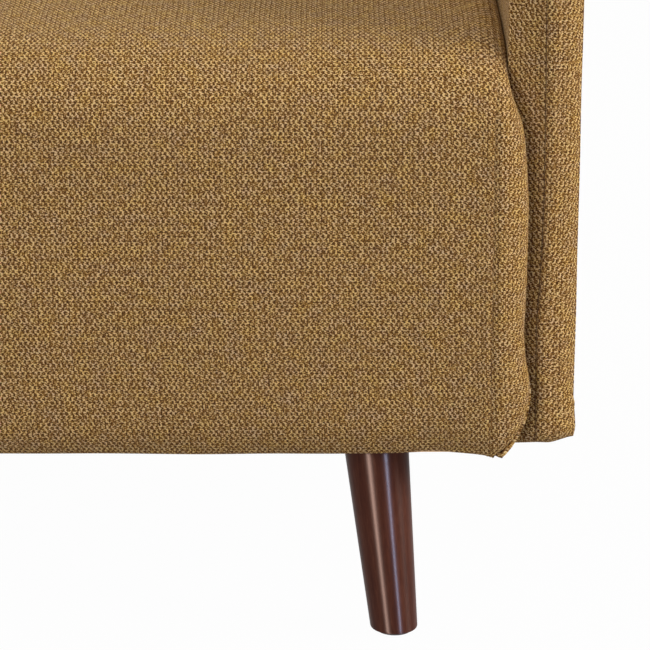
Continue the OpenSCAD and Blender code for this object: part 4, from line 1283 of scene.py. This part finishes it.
# %% Boards
def sawn_pine(way):
    """Sawn pine with the grain along X, Y or Z."""
    made, tree, out = blank_material("sawn_pine_along_" + way)
    place = add(tree, "TexCoord").outputs["Object"]
    stretch = [1 / (18 * MM) if axis != way else 1 / (450 * MM) for axis in "xyz"]
    along = add(tree, "Mapping", {"Vector": place, "Scale": stretch})
    bend = add(tree, "TexNoise", {"Vector": along, "Scale": 0.8, "Detail": 2.0})
    rings = add(tree, "Math", {0: bend, 1: 46.0}, operation="MULTIPLY")
    rings = add(tree, "Math", {0: rings}, operation="SINE")
    stretch = [1 / (1.2 * MM) if axis != way else 1 / (30 * MM) for axis in "xyz"]
    fine = add(tree, "Mapping", {"Vector": place, "Scale": stretch})
    fibre = add(tree, "TexNoise", {"Vector": fine, "Scale": 1.0, "Detail": 2.0})
    mixed = add(tree, "Math", {0: rings, 1: 0.22, 2: 0.25}, operation="MULTIPLY_ADD")
    mixed = add(tree, "Math", {0: fibre, 1: 0.5, 2: mixed}, operation="MULTIPLY_ADD")
    tone = add(tree, "ValToRGB", {"Fac": mixed}, stops=[(0.15, "#e3c79a"), (0.55, "#d6b17b"), (0.8, "#b98a52")])
    relief = add(tree, "Bump", {"Height": fibre, "Strength": 0.4, "Distance": 0.3 * MM})
    surface = add(tree, "BsdfPrincipled", {"Base Color": tone, "Normal": relief, "Roughness": 0.75,
                                           "Specular IOR Level": 0.3})
    tree.links.new(surface.outputs[0], out.inputs[0])
    return made


def hardboard():
    """Pressed fibreboard: brown, with short fibres lying every way."""
    made, tree, out = blank_material("pressed_hardboard")
    place = add(tree, "TexCoord").outputs["Object"]
    fibres = add(tree, "TexNoise", {"Vector": place, "Scale": 1 / (2.5 * MM), "Detail": 5.0, "Roughness": 0.7})
    clumps = add(tree, "TexNoise", {"Vector": place, "Scale": 1 / (20 * MM), "Detail": 1.0})
    mixed = add(tree, "Math", {0: fibres, 1: 0.6}, operation="MULTIPLY")
    mixed = add(tree, "Math", {0: clumps, 1: 0.4, 2: mixed}, operation="MULTIPLY_ADD")
    tone = add(tree, "ValToRGB", {"Fac": mixed}, stops=[(0.35, "#6d4c30"), (0.65, "#99754e")])
    surface = add(tree, "BsdfPrincipled", {"Base Color": tone, "Roughness": 0.6, "Specular IOR Level": 0.4})
    tree.links.new(surface.outputs[0], out.inputs[0])
    return made


pine = {way: sawn_pine(way) for way in "xyz"}
boards = hardboard()
print("boards:", [made.name for made in (*pine.values(), boards)])

# %% Webbing
def elastic_webbing():
    """Black elastic webbing: ribs 2.5 mm apart along the strap, crossed by fine threads."""
    made, tree, out = blank_material("black_elastic_webbing")
    place = add(tree, "SeparateXYZ", {0: add(tree, "TexCoord").outputs["Object"]})
    ribs = add(tree, "Math", {0: place.outputs[0], 1: 2 * math.pi / (2.5 * MM)}, operation="MULTIPLY")
    ribs = add(tree, "Math", {0: ribs}, operation="SINE")
    threads = add(tree, "Math", {0: place.outputs[2], 1: 2 * math.pi / (1.2 * MM)}, operation="MULTIPLY")
    threads = add(tree, "Math", {0: threads}, operation="SINE")
    height = add(tree, "Math", {0: threads, 1: 0.3, 2: ribs}, operation="MULTIPLY_ADD")
    tone = add(tree, "MapRange", {"Value": height, "From Min": -1.3, "From Max": 1.3})
    tone = add(tree, "ValToRGB", {"Fac": tone}, stops=[(0.0, "#0c0c0d"), (1.0, "#2a2a2c")])
    relief = add(tree, "Bump", {"Height": height, "Strength": 0.6, "Distance": 0.3 * MM})
    surface = add(tree, "BsdfPrincipled", {"Base Color": tone, "Normal": relief, "Roughness": 0.7})
    tree.links.new(surface.outputs[0], out.inputs[0])
    return made


webbing = elastic_webbing()
print("webbing:", len(webbing.node_tree.nodes), "nodes")

# %% Card, felt, plastic and steel
def speckled(name, grain, stops, surface, gloss=None, relief=None):
    """A finish with one fine noise, which drives its colour and, where given, its gloss and relief.
    gloss is the lowest and highest roughness, relief is (strength, depth)."""
    made, tree, out = blank_material(name)
    place = add(tree, "TexCoord").outputs["Object"]
    specks = add(tree, "TexNoise", {"Vector": place, **grain})
    surface = {"Base Color": add(tree, "ValToRGB", {"Fac": specks}, stops=stops), **surface}
    if gloss:
        surface["Roughness"] = add(tree, "MapRange", {"Value": specks, "From Min": 0.3, "From Max": 0.7,
                                                      "To Min": gloss[0], "To Max": gloss[1]})
    if relief:
        surface["Normal"] = add(tree, "Bump", {"Height": specks, "Strength": relief[0], "Distance": relief[1]})
    tree.links.new(add(tree, "BsdfPrincipled", surface).outputs[0], out.inputs[0])
    return made


# Stiff card: plain grey-brown with darker specks of recycled paper
grey_card = speckled("grey_card", {"Scale": 1 / (3 * MM), "Detail": 4.0},
                     [(0.3, "#9c8260"), (0.55, "#ab9068"), (0.8, "#bda27c")],
                     {"Roughness": 0.9, "Specular IOR Level": 0.2})
# Felt of reclaimed fibres: a brown ground with light and dark threads
needled_felt = speckled("needled_felt", {"Scale": 1 / (1.5 * MM), "Detail": 4.0, "Distortion": 2.0},
                        [(0.3, "#6b5238"), (0.5, "#a88963"), (0.75, "#cdb48c")],
                        {"Roughness": 0.95, "Specular IOR Level": 0.1, "Sheen Weight": 0.2},
                        relief=(0.7, 0.8 * MM))
# Moulded polyethylene, scuffed dull by the floor
glide_plastic = speckled("scuffed_black_polyethylene", {"Scale": 1 / (4 * MM), "Detail": 4.0},
                         [(0.3, "#1d1917"), (0.7, "#332d29")], {}, gloss=(0.35, 0.7))
# Bright zinc plating on drawn wire and pressed plate: cool grey with cloudy patches
zinc_plated_steel = speckled("zinc_plated_steel", {"Scale": 1 / (12 * MM), "Detail": 3.0},
                             [(0.3, "#a9adb0"), (0.7, "#c9ccce")], {"Metallic": 1.0}, gloss=(0.28, 0.45))
print("speckled:", [made.name for made in (grey_card, needled_felt, glide_plastic, zinc_plated_steel)])

# %% Dress the frame
arms = [f"arm_{word}_" for word in ("left", "right")]
FINISHES = [
    (pine["x"], ["front_rail", "rear_rail", "spring_rail", "back_top_rail", "back_bottom_rail"]),
    (pine["y"], ["left_rail", "right_rail", "stretchers"]
     + [a + p for a in arms for p in ("top_rail", "sill")]),
    (pine["z"], ["corner_blocks", "back_left_post", "back_right_post", "back_centre_post"]
     + [a + p for a in arms for p in ("front_post", "rear_post")]),
    (boards, [a + p for a in arms for p in ("inner_board", "outer_board")]),
    (grey_card, ["back_liner"]),
    (needled_felt, ["spring_pad"]),
    (webbing, ["back_webbing"]),
    (glide_plastic, ["leg_glides"]),
    (zinc_plated_steel, ["springs", "spring_clips", "leg_plates", "leg_bolts", "wood_screws", "arm_bolts",
                         "arm_washers", "tee_nuts", "joint_plates"]),
]
for finish, names in FINISHES:
    for name in names:
        for material_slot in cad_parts[name].material_slots:
            material_slot.material = finish
print("dressed:", sum(len(names) for finish, names in FINISHES), "nodes of the frame")
